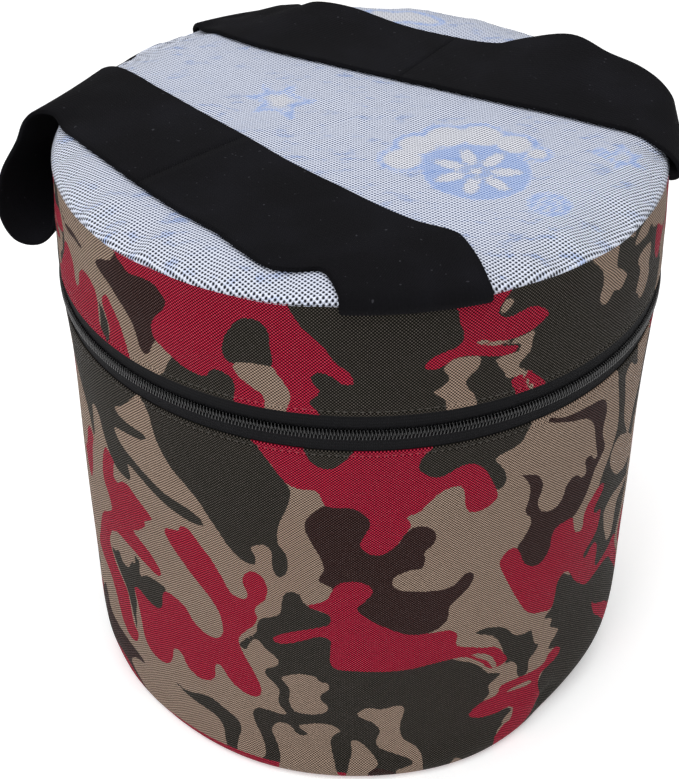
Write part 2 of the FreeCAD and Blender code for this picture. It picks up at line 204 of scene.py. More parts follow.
# ---- printed camouflage, with one thin line of painted shade on the lid: outlines in degrees round the bag and millimetres up ----
TUB_PRINT = {
    "pine": [
        [(-160, 216), (-131.5, 216), (-132.6, 209.7), (-136.5, 199), (-139.5, 193.5), (-136.5, 190.5),
         (-131, 190.5), (-130.9, 188), (-133, 185.3), (-139.9, 181.5), (-140.3, 178), (-138.4, 172.7),
         (-131, 165), (-127.2, 161.8), (-121, 160), (-118.2, 155.7), (-120, 153), (-125.3, 154.2),
         (-129.5, 157), (-136.5, 163.6), (-137.6, 161.8), (-137.2, 156.4), (-138.4, 152.7),
         (-143, 155), (-145.7, 167.3), (-146.8, 177), (-148.4, 180.3), (-150, 178), (-150.5, 169.4),
         (-151.7, 155.3), (-154.2, 172), (-162, 190)],
        [(-129.7, 216), (-129.2, 204), (-127.8, 191), (-125, 180.3), (-120, 170.5), (-117.8, 163.6),
         (-115.4, 155.3), (-113, 146.6), (-110.6, 141.2), (-108.4, 140.8), (-108.2, 146),
         (-109, 150.5), (-107.8, 152.9), (-106.2, 154), (-105.1, 150.5), (-105.1, 142),
         (-104.2, 135.9), (-102.8, 138), (-102.2, 144.4), (-102.6, 151), (-103.9, 157),
         (-103.6, 167.3), (-102.2, 177), (-101.4, 185.7), (-102.3, 192), (-105, 201), (-107.8, 216)],
        [(-148.4, 90.5), (-146.5, 92.3), (-145, 95.8), (-143.8, 91.2), (-141.5, 91.2), (-139.9, 97.7),
         (-138.6, 99), (-138.8, 103.8), (-137.2, 102.7), (-137.2, 93.4), (-134.9, 97.7),
         (-131.8, 99.2), (-129.3, 98.3), (-130.5, 92.3), (-130.5, 84), (-132.6, 79), (-138, 81.6),
         (-139.5, 79.3), (-139, 72.7), (-139.5, 61.8), (-139.4, 50), (-141, 66), (-142.6, 76),
         (-144.9, 81.4)],
        [(-131.8, 38.3), (-128, 33.3), (-125, 33.4), (-122.6, 35.7), (-120, 36.4), (-117.4, 32.8),
         (-115, 29.2), (-113.8, 26), (-113.5, 20.5), (-114.2, 11.8), (-114.4, -4), (-115.8, -4),
         (-117, 9.7), (-117.6, 18.3), (-119, 23.8), (-121.4, 26.6), (-125, 29.2), (-128, 31.9)],
        [(-112.8, 82.5), (-111.2, 89.5), (-109, 95.5), (-108.6, 102), (-107.6, 106.5),
         (-104.3, 111.5), (-103.6, 120), (-103, 126), (-101.6, 128.2), (-100.2, 127),
         (-99.4, 121.8), (-96.2, 117.5), (-94, 115), (-92, 104), (-92, 84), (-90, 80.6), (-80, 79),
         (-75, 80), (-72, 79), (-69.6, 75), (-67.2, 71.6), (-65.2, 66), (-63.6, 60.7), (-60.9, 57),
         (-63.4, 52), (-63.1, 46.5), (-64.4, 42), (-66, 36), (-65.4, 31), (-62, 30), (-57.4, 27),
         (-59.6, 17.3), (-60.8, 13), (-60, -5), (-108, -5), (-108, 9.7), (-109, 20.5),
         (-110.2, 29), (-110.7, 36.8), (-109, 41.8), (-104.2, 41), (-103.8, 43.3), (-105, 47.7),
         (-105.2, 52), (-105, 59.7), (-107.4, 67.3), (-107.4, 71.6), (-105.2, 76), (-104.9, 81),
         (-107.4, 86.8), (-109, 91.3), (-110.8, 85), (-111.3, 81.5)],
        [(-80.4, 216), (-80.6, 202), (-79, 193), (-74, 190), (-68, 186), (-65.8, 180.5),
         (-64.4, 179.6), (-63.6, 183.6), (-64, 189), (-65.4, 194.5), (-66.1, 197.6),
         (-64.4, 199.3), (-62.2, 200.7), (-60.5, 204.5), (-60.8, 216)],
        [(-67, 90.5), (-65.2, 92.3), (-62.8, 90.5), (-60.8, 88), (-59.2, 83.6), (-58, 79.2),
         (-55.6, 76.6), (-53.8, 76.6), (-53.2, 71.6), (-52.4, 65), (-51.2, 62.5), (-52.4, 58.6),
         (-53.8, 55.3), (-54, 48), (-55.6, 46.5), (-56.6, 50), (-57, 57.5), (-58.4, 62),
         (-59.8, 63), (-60.6, 72.7), (-62, 81.4), (-64, 86.8)],
        [(-36.8, 216), (-36.4, 207.5), (-35.4, 198.8), (-34.2, 189), (-33.5, 178), (-33.7, 170),
         (-35.4, 161), (-37.4, 152), (-39, 140), (-42, 112), (-44, 98), (-46.2, 103.2),
         (-47.9, 98), (-48.3, 84), (-50.3, 79.2), (-48, 75), (-48.2, 69.5), (-45.5, 63),
         (-47.6, 57), (-48.2, 53.5), (-46, 50), (-50, 38), (-51.5, 30), (-51, 22), (-50, -5),
         (-12, -5), (-9, 30), (-14, 60), (-12, 100), (-17, 128), (-21, 150), (-17, 176),
         (-20, 216)],
    ],
    "umber": [
        [(-99.1, 168), (-98.6, 173), (-97, 178), (-95.2, 181), (-90.6, 181), (-87, 176),
         (-86.8, 168), (-87.4, 158), (-86, 154.8), (-83, 158.5), (-82, 163), (-80.4, 167),
         (-78.4, 167.3), (-76.6, 164), (-76.1, 159.5), (-76.9, 155), (-78.2, 152), (-78, 147.7),
         (-78.5, 142.7), (-80.8, 142.3), (-83.2, 139.7), (-83.8, 135.7), (-82.7, 131.4),
         (-80, 129.2), (-76.8, 127.5), (-74, 126.6), (-72, 128), (-70.8, 131.2), (-69.6, 133.4),
         (-68.3, 131), (-68.4, 126.5), (-69.8, 121.3), (-71.4, 118), (-72.8, 114), (-73, 107),
         (-74.6, 102), (-77, 100), (-80, 99), (-84, 104), (-90, 116), (-92, 125), (-94.6, 133.5),
         (-96.6, 136), (-96.6, 139), (-95.9, 143.5), (-96, 147.7), (-97, 154.2), (-98.4, 161.8)],
        [(-60.6, 183.2), (-58.8, 181.6), (-56.8, 179), (-55.3, 173), (-55.2, 168), (-55.8, 162),
         (-55, 156), (-52.9, 152.3), (-50.7, 152.5), (-49.5, 156.5), (-49, 162), (-47.5, 165.3),
         (-45.9, 164.4), (-44.7, 161), (-43.6, 162.3), (-43.9, 167), (-44.4, 169.8),
         (-43.6, 171.6), (-42.4, 170.8), (-41.4, 167), (-40.4, 167.4), (-41.2, 174), (-42, 181.4),
         (-42.9, 189), (-44.8, 195), (-47, 198), (-50, 200.6), (-55.2, 206.5), (-55, 208.7),
         (-51.4, 205.2), (-44.3, 202.7), (-41.4, 201), (-39.7, 197.5), (-38.9, 191),
         (-39.5, 181.4), (-38.9, 175), (-38, 169.5), (-39, 165), (-40.7, 159.7), (-42, 151),
         (-44.3, 141.5), (-47.9, 135), (-50, 132), (-51.4, 124), (-53, 119), (-55.6, 119),
         (-57.6, 125), (-58.8, 133), (-59.2, 138), (-58, 142.5), (-56.8, 148.8), (-57.2, 154.5),
         (-58.5, 159), (-58, 167), (-58.2, 173.8), (-59.2, 179.2)],
        [(-168, 46), (-158, 45), (-154.5, 53.6), (-152.6, 52), (-150.7, 44.4), (-148.4, 40),
         (-141.8, 33.6), (-138.4, 29), (-142.6, 24), (-144.4, 18), (-143.4, 10.7), (-141.2, 4),
         (-141, -5), (-172, -5), (-174, 20)],
        [(-88.4, -4), (-87.6, 5), (-86.3, 8.2), (-84, 6.5), (-82, 3), (-81.6, -4)],
    ],
    "crimson": [
        [(-145.7, 160), (-144.2, 158), (-143, 156.4), (-143.6, 151), (-144, 144.4),
         (-142.6, 143.3), (-141, 147), (-138.8, 148.8), (-136.5, 146.2), (-134.2, 143.3),
         (-131.7, 139), (-134.2, 133.6), (-134.3, 130), (-137.2, 122.7), (-139.2, 119.6),
         (-137.2, 118.8), (-134.2, 116.2), (-131.8, 112.3), (-130.3, 107), (-131.5, 103.6),
         (-134.2, 104.9), (-139.2, 107), (-144.5, 107.5), (-146.5, 105.3), (-148, 102),
         (-149.2, 95.5), (-148.8, 90), (-146.8, 83.6), (-142.6, 74.9), (-141.5, 66.2),
         (-140.7, 55.3), (-139.3, 49.9), (-139.9, 43.3), (-141.5, 40.7), (-143.4, 42.3),
         (-145.3, 48.8), (-147.2, 59.7), (-149.2, 67.3), (-151.8, 71.6), (-154.2, 72.7),
         (-157, 77), (-155, 90), (-153, 103), (-151, 109.7), (-148.8, 114), (-146.8, 119.4),
         (-147.6, 127), (-149.2, 133.6), (-149, 142.3), (-147.6, 153)],
        [(-138.8, 75), (-139.5, 81), (-138, 83.6), (-135.3, 81.4), (-132.6, 80.5), (-130.9, 84.2),
         (-130.5, 92.3), (-129.3, 96.6), (-127.2, 96.6), (-124.5, 93.4), (-122.6, 85.7),
         (-120, 81.6), (-117.8, 81.8), (-116.4, 85.7), (-116, 92.3), (-116.6, 101),
         (-118.2, 108.6), (-120, 113.6), (-122.6, 120.5), (-126.5, 130.3), (-128.2, 136.8),
         (-127.6, 140), (-124.5, 143.3), (-123.8, 147), (-121.8, 147.6), (-119.8, 142.3),
         (-117.4, 135.7), (-115.4, 127), (-113.8, 118.3), (-112.2, 116.2), (-110.6, 116.6),
         (-110.2, 120.5), (-111, 128), (-110.2, 133.6), (-108.6, 136.2), (-107, 133.6),
         (-106.2, 127), (-106.8, 119.4), (-108.4, 114.4), (-109, 109.7), (-108.5, 106.4),
         (-109.4, 99.9), (-111.8, 92.3), (-112.8, 85.7), (-111.8, 77), (-110.2, 68.4),
         (-108.8, 58.6), (-108.8, 52), (-110.2, 48.8), (-112.6, 49.9), (-115, 54.2),
         (-116.6, 60.7), (-117.8, 63.6), (-118.6, 60.7), (-118.8, 53), (-120, 48.8),
         (-122.6, 47), (-125.3, 51), (-126.5, 57.5), (-127.6, 59.7), (-128.8, 57.5),
         (-129.3, 49.9), (-130.7, 44.4), (-133, 42.7), (-135.7, 45.5), (-137.2, 53), (-137.8, 64)],
        [(-99.3, 120.3), (-97, 123), (-95.2, 126.4), (-94.2, 132.5), (-93, 136.2), (-90.6, 137.4),
         (-88.2, 135.7), (-87.2, 131.4), (-88.4, 126), (-90, 120.5), (-87.6, 113.5),
         (-85, 108.6), (-82.4, 104.2), (-80, 101.2), (-76.8, 100), (-72.8, 98.8), (-71, 95.5),
         (-70.8, 91), (-71, 88), (-70, 85.3), (-67.6, 82.5), (-64.8, 79.2), (-62.8, 77.5),
         (-61.2, 73.8), (-60.2, 69.4), (-59.4, 65), (-61.2, 62.5), (-63.6, 64), (-65.2, 69.4),
         (-67.6, 75), (-70, 78), (-75, 78.6), (-80, 77.5), (-85, 78), (-90, 79.2), (-93.6, 80),
         (-94.8, 84), (-94.8, 92), (-94.8, 100), (-97, 101.4), (-99.4, 98), (-102.6, 93.6),
         (-105, 92.3), (-105.7, 95), (-103.4, 99.9), (-100.2, 104), (-97, 107.4), (-94.9, 110.5),
         (-94.8, 116), (-96.5, 118)],
        [(-107.8, 216), (-107, 208.6), (-105, 201), (-102.6, 192.5), (-101.2, 189.8),
         (-99.4, 188.8), (-97, 188.8), (-96.2, 185), (-95.2, 180.5), (-90.6, 179.4),
         (-88.4, 174.8), (-87.8, 170), (-88.9, 163.5), (-89.5, 158.6), (-88.6, 154.7), (-87, 153),
         (-85.2, 153.4), (-83, 158.3), (-82, 163), (-80.7, 168.5), (-81.5, 174), (-79.6, 175.3),
         (-77.6, 180.7), (-76, 185), (-74, 187), (-72, 186.8), (-71.4, 181.4), (-71, 173.8),
         (-70, 170.5), (-68.2, 169.9), (-66.4, 171.6), (-65, 175), (-65.4, 180), (-66.4, 185.7),
         (-67.6, 192.3), (-69.2, 196.6), (-70.8, 198.3), (-72.8, 197.7), (-74.8, 194.9),
         (-76.8, 194), (-78.6, 196.6), (-79.8, 200.5), (-79.4, 205.3), (-79.2, 216)],
        [(-62.8, 130.3), (-62.4, 135.3), (-61.2, 138.3), (-59.6, 138), (-58.4, 133), (-57, 124.5),
         (-54.5, 120), (-52.6, 121), (-51.2, 127), (-51, 134.5), (-50.2, 138.4), (-47.9, 139.2),
         (-45.8, 138.3), (-45.2, 132), (-44.2, 126.8), (-42.6, 124.9), (-42.1, 128),
         (-42.3, 133.6), (-41.4, 139.3), (-39.6, 143.3), (-37.9, 145.6), (-36.2, 144),
         (-36.4, 139.5), (-38.7, 133), (-38.2, 128.2), (-35.9, 127.2), (-35.6, 121),
         (-36, 112.5), (-38.6, 107.6), (-40, 104.2), (-38.9, 100.2), (-36.8, 105), (-35, 103),
         (-33.9, 96), (-33.7, 87), (-32.6, 82.5), (-27.1, 83.8), (-24, 85.8), (-20, 76),
         (-14, 58), (-8, 44), (-8, 30), (-16, 44), (-22.9, 65), (-26, 75), (-30.7, 78),
         (-36.4, 77.5), (-39.3, 83.4), (-41.8, 90), (-44.4, 100.5), (-46.2, 103), (-47.7, 99),
         (-48, 88), (-48.8, 83), (-51.4, 85), (-55, 90), (-58, 103), (-60.8, 118.3)],
        [(-67.4, 34.7), (-66.4, 39), (-64.4, 41.8), (-62, 42.3), (-61, 44.5), (-60.8, 47),
         (-59.6, 48.3), (-56.8, 47.7), (-54, 46.4), (-49.6, 45.5), (-47.9, 49.9), (-45.7, 51),
         (-44.2, 46.6), (-45.4, 42.3), (-47.9, 41), (-50, 40), (-50.7, 34.7), (-50.4, 29),
         (-49.6, 22.7), (-50.4, 15), (-52.9, 7.4), (-55, 2), (-56, -5), (-60, -5), (-61.2, 8.6),
         (-60.6, 13), (-58.8, 17.3), (-57.4, 19.4), (-57, 26), (-58, 29.2), (-61.2, 28.8),
         (-64, 29.7), (-66, 31.4)],
        [(-33.4, 58.6), (-31.8, 54), (-30, 51), (-26.4, 44.4), (-22.9, 35.7), (-16, 25),
         (-8, 17), (-10, 9), (-20, 13), (-26.4, 31), (-30, 42), (-32.1, 48)],
        [(-160, 5), (-154.2, 13), (-150.3, 17.5), (-147.2, 15.5), (-144, 7), (-142, -5),
         (-172, -5), (-168, 0)],
        [(-135, -4), (-132, 2.5), (-122, 5), (-108, 6.6), (-97, 6.4), (-90, 3.6), (-87, -4)],
        [(-161, 132), (-157, 150), (-154, 158), (-152.5, 154), (-154, 145), (-156, 128),
         (-158.5, 118)],
    ],
    "pine on top": [
        [(-98.9, 216), (-98.4, 207), (-97.4, 203), (-95.5, 201), (-93.6, 202.2), (-92.2, 206),
         (-90.8, 210.5), (-90.2, 216)],
    ],
    "sand on top": [
        [(-89.9, 46.5), (-88, 51.5), (-85.6, 50.3), (-84.4, 50.5), (-82.5, 52), (-80.7, 50),
         (-81.4, 38), (-81.2, 30.3), (-80.2, 25), (-78.6, 21.3), (-77.2, 16), (-76.8, 9.6),
         (-76.8, -4), (-81, -4), (-82, 5), (-80.6, 7), (-78.6, 9.5), (-80, 13.5), (-84, 18.6),
         (-85.6, 21.6), (-86, 27), (-85.3, 33.6), (-86.5, 39.5), (-88.3, 43)],
        [(-91, 25.5), (-90.2, 26.8), (-89, 24.9), (-87.4, 19.4), (-85.6, 10.7), (-87.4, 5.3),
         (-88.2, -4), (-92, -4), (-91.4, 9.7), (-90.8, 18.3)],
        [(-106.8, 28), (-105.8, 33.6), (-103.8, 34.7), (-102.6, 32.5), (-101.8, 28),
         (-100.2, 27.6), (-99.5, 29.5), (-101, 32.5), (-101.4, 34.7), (-99.4, 36.8), (-97, 38.3),
         (-94.6, 37.5), (-93, 33.6), (-94.2, 30.3), (-95, 26), (-94.8, 18.3), (-94, 8.6),
         (-93.8, -4), (-104.6, -4), (-105, 9.7), (-105.8, 18.3), (-106.6, 23.8)],
        [(-104.4, 67.9), (-102.6, 71.6), (-100.2, 73.8), (-97.4, 73), (-97.2, 69.8),
         (-95.2, 69.4), (-95.4, 64), (-96.6, 60.7), (-96.8, 56.4), (-95.4, 52), (-96, 47),
         (-97.4, 45.5), (-99, 44.4), (-101.8, 44.9), (-102.6, 47.7), (-103, 53), (-102.8, 60.7),
         (-103.4, 64)],
        [(-67.8, 78), (-65, 75.4), (-63, 70.8), (-61.8, 63.5), (-62.7, 63), (-63.8, 68.5),
         (-65.8, 73)],
        [(-70.6, -4), (-70.4, 6.2), (-69, 5), (-67.4, -4)],
        [(-35, 157.5), (-33.9, 163), (-31.8, 164.9), (-29.3, 161.8), (-26.4, 157), (-20, 144.4),
         (-16, 138), (-18, 130), (-24.3, 131.4), (-27.1, 134.6), (-30, 138), (-32.1, 143.3),
         (-34.3, 151)],
        [(-33.6, 119.4), (-32.9, 123.8), (-30.7, 125.5), (-28.6, 124.9), (-22, 120), (-19, 116),
         (-25.4, 114), (-26.1, 107.5), (-26.1, 96.6), (-26.8, 91.2), (-28.9, 92.3),
         (-30.4, 98.8), (-32.1, 107.5)],
        [(-32.7, 201), (-31.4, 205.7), (-30, 204), (-28.2, 200), (-26.4, 199), (-27.8, 206),
         (-27, 216), (-14, 216), (-16, 196), (-19, 184), (-23.9, 170.5), (-25.4, 157),
         (-27.1, 159.7), (-29.3, 167.3), (-30.7, 176), (-31.2, 185.7), (-32.1, 194.4)],
        [(-59.6, 42.3), (-56, 42), (-52.8, 40.5), (-53, 38), (-56, 39.3), (-58.8, 41)],
        [(-59.6, 18.8), (-58.4, 23.4), (-57.2, 25), (-57.2, 20), (-58, 17.7)],
    ],
}

LID_PRINT = {
    "pine": [
        [(-103, 286), (-100, 268), (-97, 255), (-97, 226), (-22, 226), (-20, 250), (-22, 286)],
        [(-124.5, 226), (-124, 234), (-122.8, 240), (-121.8, 242.3), (-117, 242), (-114, 245.5),
         (-110.5, 244), (-109.8, 236), (-109, 226)],
        [(-140.7, 248.3), (-139.3, 244), (-138.2, 238.3), (-138.3, 226), (-140.6, 226),
         (-140.7, 236)],
    ],
    "umber": [
        [(-134.4, 280), (-136.4, 273.3), (-139.3, 270.4), (-141.1, 266.9), (-139.6, 264.4),
         (-137.1, 261.9), (-135, 258.3), (-132.9, 254), (-131.4, 249.7), (-130.4, 244),
         (-129.6, 238.3), (-128.6, 236.7), (-127.5, 238.3), (-126.4, 244), (-124, 252),
         (-121.5, 262), (-122, 270), (-126, 275), (-131, 277)],
        # Not print: a thin dark line of painted shade along a small tuck at the band's seam, drawn in
        # umber.
        [(-150.7, 282), (-149.1, 279.4), (-146.4, 273.2), (-143.9, 267), (-144.4, 266.8),
         (-147, 272.8), (-149.7, 279), (-151.3, 282)],
        [(-157, 274), (-155, 268.8), (-150.5, 269.4), (-147, 267.8), (-146.2, 265.5),
         (-149.5, 266.4), (-153.5, 265.8), (-156.4, 268.5)],
    ],
    "crimson": [
        [(-135.2, 286), (-134.8, 278), (-132.9, 274.7), (-131.4, 272.6), (-128.6, 273.4),
         (-125.7, 272.9), (-124.3, 270.4), (-123.2, 266.9), (-123.9, 262.6), (-125.7, 257.6),
         (-126.5, 252), (-126, 247.5), (-124.3, 244.5), (-120.5, 239.5), (-117.1, 237.7),
         (-115.4, 239), (-114.8, 242.3), (-113.2, 243.3), (-111.1, 241), (-110.4, 236.9),
         (-109.5, 226), (-96.5, 226), (-96.8, 231.5), (-97.9, 235.5), (-96.2, 240.2),
         (-97.2, 244), (-97.6, 247.5), (-96.1, 249.5), (-94.3, 248), (-92.3, 244.6),
         (-90.7, 245.4), (-91.4, 249.7), (-93.9, 255), (-95.4, 260.4), (-97.2, 265),
         (-99.3, 270.4), (-101.4, 280), (-101.5, 286)],
        [(-157.1, 256.5), (-154.3, 256.9), (-152.1, 253.3), (-151.1, 248.3), (-150, 243.3),
         (-148.9, 245.4), (-148.6, 251), (-147.1, 255.4), (-144.6, 256), (-142.5, 254),
         (-141.4, 249.7), (-141.2, 237), (-140.8, 226), (-168, 226), (-168, 246)],
        [(-139.3, 252.6), (-137.9, 254.7), (-136.4, 250.4), (-135, 245.4), (-133.9, 239.7),
         (-133, 234), (-132.8, 226), (-138.3, 226), (-137.9, 237.6), (-138.9, 244),
         (-139.6, 248.3)],
        [(-74.6, 278.6), (-68.4, 280.4), (-65.2, 281), (-65, 278.6), (-65.9, 276), (-67, 272.6),
         (-67, 269.4), (-65.2, 267.2), (-63.4, 268), (-61.3, 269), (-59.5, 267.9),
         (-57.7, 264.7), (-57.7, 262.6), (-59.5, 260), (-61.3, 258.3), (-64.1, 257.2),
         (-67, 257), (-69, 256.4), (-65.6, 254.7), (-63.4, 253.3), (-63.4, 251.5),
         (-64.9, 250.4), (-67, 250.8), (-69.9, 252.6), (-72.7, 254), (-74.9, 253.3),
         (-76.6, 250.4), (-78.4, 250), (-79.5, 251.5), (-78.8, 254.4), (-77, 256.9),
         (-74.9, 258.3), (-73.4, 260.4), (-73.1, 264.7), (-73.8, 269.7), (-74.1, 274.7)],
        [(-64.1, 238.3), (-60.9, 239.4), (-59.9, 236.9), (-58.1, 232.6), (-57, 226),
         (-62.5, 226), (-63.4, 231.5), (-64.1, 234.7)],
        [(-25, 268), (-23, 272), (-19, 262), (-21, 248), (-24, 252), (-25.4, 260)],
    ],
    "pine on top": [
        [(-107.1, 270.8), (-105.4, 269), (-104.4, 264.7), (-104.3, 259), (-103.9, 253.3),
         (-104.3, 248.6), (-107.1, 248.9), (-109.6, 248), (-111.4, 249), (-112.4, 253.3),
         (-112, 259.7), (-110.7, 265.4), (-109.3, 269.4)],
    ],
    "sand on top": [
        [(-110.7, 246.9), (-109.3, 249.6), (-104.3, 249.9), (-103.2, 246.9), (-101.6, 241.5),
         (-100.9, 237), (-101.3, 233.5), (-102.5, 226), (-105.2, 226), (-105.4, 234.7),
         (-107.3, 238.5), (-109.5, 242)],
        [(-71.4, 260.8), (-70, 260), (-67, 257.9), (-64.1, 256.9), (-61.3, 257.8),
         (-60, 258.6), (-60.6, 255.4), (-60.7, 251.9), (-61.3, 248.3), (-63, 244.7),
         (-62.7, 241.9), (-61.1, 240.2), (-61.4, 238.8), (-64.9, 238.6), (-65.6, 241.9),
         (-66.6, 245.4), (-67.4, 249), (-66.3, 250.2), (-63.2, 250.8), (-62.9, 253.6),
         (-65, 255), (-67.7, 256), (-70.4, 258)],
        [(-74.5, 253.6), (-70.6, 252.9), (-70, 250.4), (-70.6, 246.9), (-72.4, 242.6),
         (-72, 238.3), (-70.9, 234.7), (-70.6, 226), (-75, 226), (-75.9, 234.7),
         (-77.9, 238.6), (-76.6, 241), (-75.2, 244), (-75.9, 247.6), (-76.3, 249.7)],
        [(-61.7, 239), (-61, 235), (-60, 231.5), (-59.3, 228), (-60.2, 228), (-61.4, 234),
         (-62.1, 237.5)],
        [(-65.9, 275.4), (-64.5, 274.7), (-64.7, 272.2), (-66.3, 269.4), (-66.9, 270.4),
         (-66.6, 273.3)],
        [(-48.8, 284), (-42, 284), (-40.7, 277.6), (-40.9, 272.6), (-40.6, 267.6),
         (-38.8, 264), (-37.2, 260.4), (-37.4, 257.6), (-39.1, 255), (-40.9, 256.5),
         (-42, 255), (-43.1, 252.9), (-44.5, 254), (-45.2, 257.6), (-44.5, 263.3),
         (-44.9, 269.7), (-46.3, 274), (-48.1, 278.3)],
        [(-38.8, 283), (-35.6, 279), (-35.2, 276.5), (-37, 277.9)],
        [(-35.2, 272), (-33, 277.5), (-28, 279.5), (-18, 279.5), (-16, 270), (-20, 262),
         (-24, 268), (-27, 270), (-28.5, 274), (-29.8, 271), (-31.5, 270.2), (-34, 270.4)],
        [(-33.1, 262.6), (-31.3, 264.7), (-28.4, 264.7), (-27.7, 260.4), (-28.1, 254),
         (-27.4, 248.3), (-28.4, 244), (-30.6, 240.4), (-32, 241.9), (-32.4, 245.4),
         (-33.4, 245), (-32.7, 250.4), (-32, 255.4), (-33.1, 259.7)],
    ],
}
INK_LAYERS = ("pine", "umber", "crimson", "pine on top", "sand on top")
DEG_TO_MM = math.radians(1) * bag_radius
FAR = 40.0


def outline_distance(x, y, outline):
    """Signed distance from points to a closed outline, negative inside it, both in mm."""
    low, high = outline.min(0) - 10, outline.max(0) + 10
    near = (x > low[0]) & (x < high[0]) & (y > low[1]) & (y < high[1])
    out = np.full(x.shape, FAR)
    if not near.any():
        return out
    px, py = x[near], y[near]
    best = np.full(px.shape, 1e9)
    inside = np.zeros(px.shape, bool)
    for a, b in zip(outline, np.roll(outline, -1, 0)):
        ex, ey = b - a
        t = np.clip(((px - a[0]) * ex + (py - a[1]) * ey) / max(ex * ex + ey * ey, 1e-12), 0, 1)
        best = np.minimum(best, (px - a[0] - t * ex) ** 2 + (py - a[1] - t * ey) ** 2)
        if a[1] != b[1]:
            crosses = (a[1] > py) != (b[1] > py)
            inside ^= crosses & (px < a[0] + (py - a[1]) * ex / ey)
    out[near] = np.sqrt(best) * np.where(inside, -1, 1)
    return out


def print_repeats(angle, z, middle):
    """Places in the drawn stretch of the print for each of its three repeats round the bag, with
    the distance outside that repeat's wavy border."""
    drawn_low, drawn_high = -160.0, -19.0
    drawn = drawn_high - drawn_low
    turned = ((0.0, 1), (drawn, -1), (262.0, 1))
    borders = (drawn_high, drawn_high + drawn, drawn_low + 360.0)
    wave = 2.2 * np.sin(z / 19.0) + 1.3 * np.sin(z / 8.0 + 1.0)
    start = borders[-1] - 360.0
    for (turn, way), end in zip(turned, borders):
        middle_deg, half = (start + end) / 2, (end - start) / 2
        off = turn_to(angle - wave - middle_deg)
        outside = (np.abs(off) - half) * DEG_TO_MM
        unturned = middle_deg + turn_to(angle - middle_deg) - turn
        yield unturned * DEG_TO_MM, middle + way * (z - middle), outside
        start = end


def ink(angle, z, outlines, middle):
    """Signed distance in mm to the printed shapes of each ink, at places on the cloth."""
    inks = {}
    curves = {}
    for layer in INK_LAYERS:
        curves[layer] = [curve_through([(a * DEG_TO_MM, h) for a, h in o], 5, closed=True)
                         for o in outlines[layer]]
        inks[layer] = np.full(angle.shape, FAR)
    for x, y, outside in print_repeats(angle, z, middle):
        for layer in INK_LAYERS:
            for outline in curves[layer]:
                shape = np.maximum(outline_distance(x, y, outline), outside)
                inks[layer] = np.minimum(inks[layer], shape)
    return inks


# ---- meshes ----
def make_mesh(name, points, faces, material, uv, values=None):
    """Mesh object from points in mm and faces of one size; uv is in metres, one per face corner."""
    mesh = bpy.data.meshes.new(name)
    points = np.asarray(points, float).reshape(-1, 3) * MM
    faces = np.asarray(faces, np.int32)
    count, size = faces.shape
    mesh.vertices.add(len(points))
    mesh.vertices.foreach_set("co", points.astype(np.float32).ravel())
    mesh.loops.add(count * size)
    mesh.loops.foreach_set("vertex_index", faces.ravel())
    mesh.polygons.add(count)
    mesh.polygons.foreach_set("loop_start", np.arange(0, count * size, size, dtype=np.int32))
    mesh.polygons.foreach_set("loop_total", np.full(count, size, np.int32))
    mesh.polygons.foreach_set("use_smooth", np.full(count, True))
    layer = mesh.uv_layers.new(name="cloth")
    layer.data.foreach_set("uv", np.asarray(uv, np.float32).ravel())
    for key, value in (values or {}).items():
        data = mesh.attributes.new(key, "FLOAT", "POINT").data
        data.foreach_set("value", np.asarray(value, np.float32).ravel())
    mesh.update(calc_edges=True)
    mesh.validate()
    piece = bpy.data.objects.new(name, mesh)
    bpy.context.scene.collection.objects.link(piece)
    mesh.materials.append(material)
    return piece


def grid_faces(rows, columns, close_rows=False, close_columns=False):
    """Quads of a grid of points, rows by columns, with the grid places of their corners."""
    r = np.arange(rows if close_rows else rows - 1)
    c = np.arange(columns if close_columns else columns - 1)
    r, c = (a.ravel() for a in np.meshgrid(r, c, indexing="ij"))
    corner_r = np.stack([r, r, r + 1, r + 1], -1)
    corner_c = np.stack([c, c + 1, c + 1, c], -1)
    return (corner_r % rows) * columns + corner_c % columns, corner_r, corner_c


def grid_piece(name, points, material, uv_size, close_rows=False, close_columns=False):
    """Piece from a grid of points; uv_size is the cloth's size in mm along columns and rows."""
    rows, columns = points.shape[:2]
    faces, r, c = grid_faces(rows, columns, close_rows, close_columns)
    across = columns if close_columns else columns - 1
    along = rows if close_rows else rows - 1
    uv = np.stack([c / across * uv_size[0], r / along * uv_size[1]], -1) * MM
    return make_mesh(name, points, faces, material, uv)


def thicken(piece, thick, side):
    """Gives a sheet its thickness in mm, to the inside where side is -1."""
    solid = piece.modifiers.new("thickness", "SOLIDIFY")
    solid.thickness = thick * MM
    solid.offset = side


def ring(name, section, columns, material, push=None):
    """Solid ring from a closed section of (radius, height) points, bent by push(angle, z)."""
    section = np.asarray(section, float)
    angle = 360.0 * np.arange(columns) / columns
    z, a = np.meshgrid(section[:, 1], angle, indexing="ij")
    r = np.repeat(section[:, :1], columns, 1)
    if push is not None:
        r = r + push(a, z)
    length = np.linalg.norm(np.roll(section, -1, 0) - section, axis=1).sum()
    size = (2 * math.pi * section[:, 0].mean(), length)
    return grid_piece(name, polar(r, a, z), material, size, close_rows=True, close_columns=True)


def close_ends(piece, ends):
    """Caps a tube's open ends, given as lists of point numbers."""
    mesh = piece.data
    work = bmesh.new()
    work.from_mesh(mesh)
    work.verts.ensure_lookup_table()
    for end in ends:
        work.faces.new([work.verts[i] for i in end])
    bmesh.ops.recalc_face_normals(work, faces=work.faces)
    work.to_mesh(mesh)
    work.free()


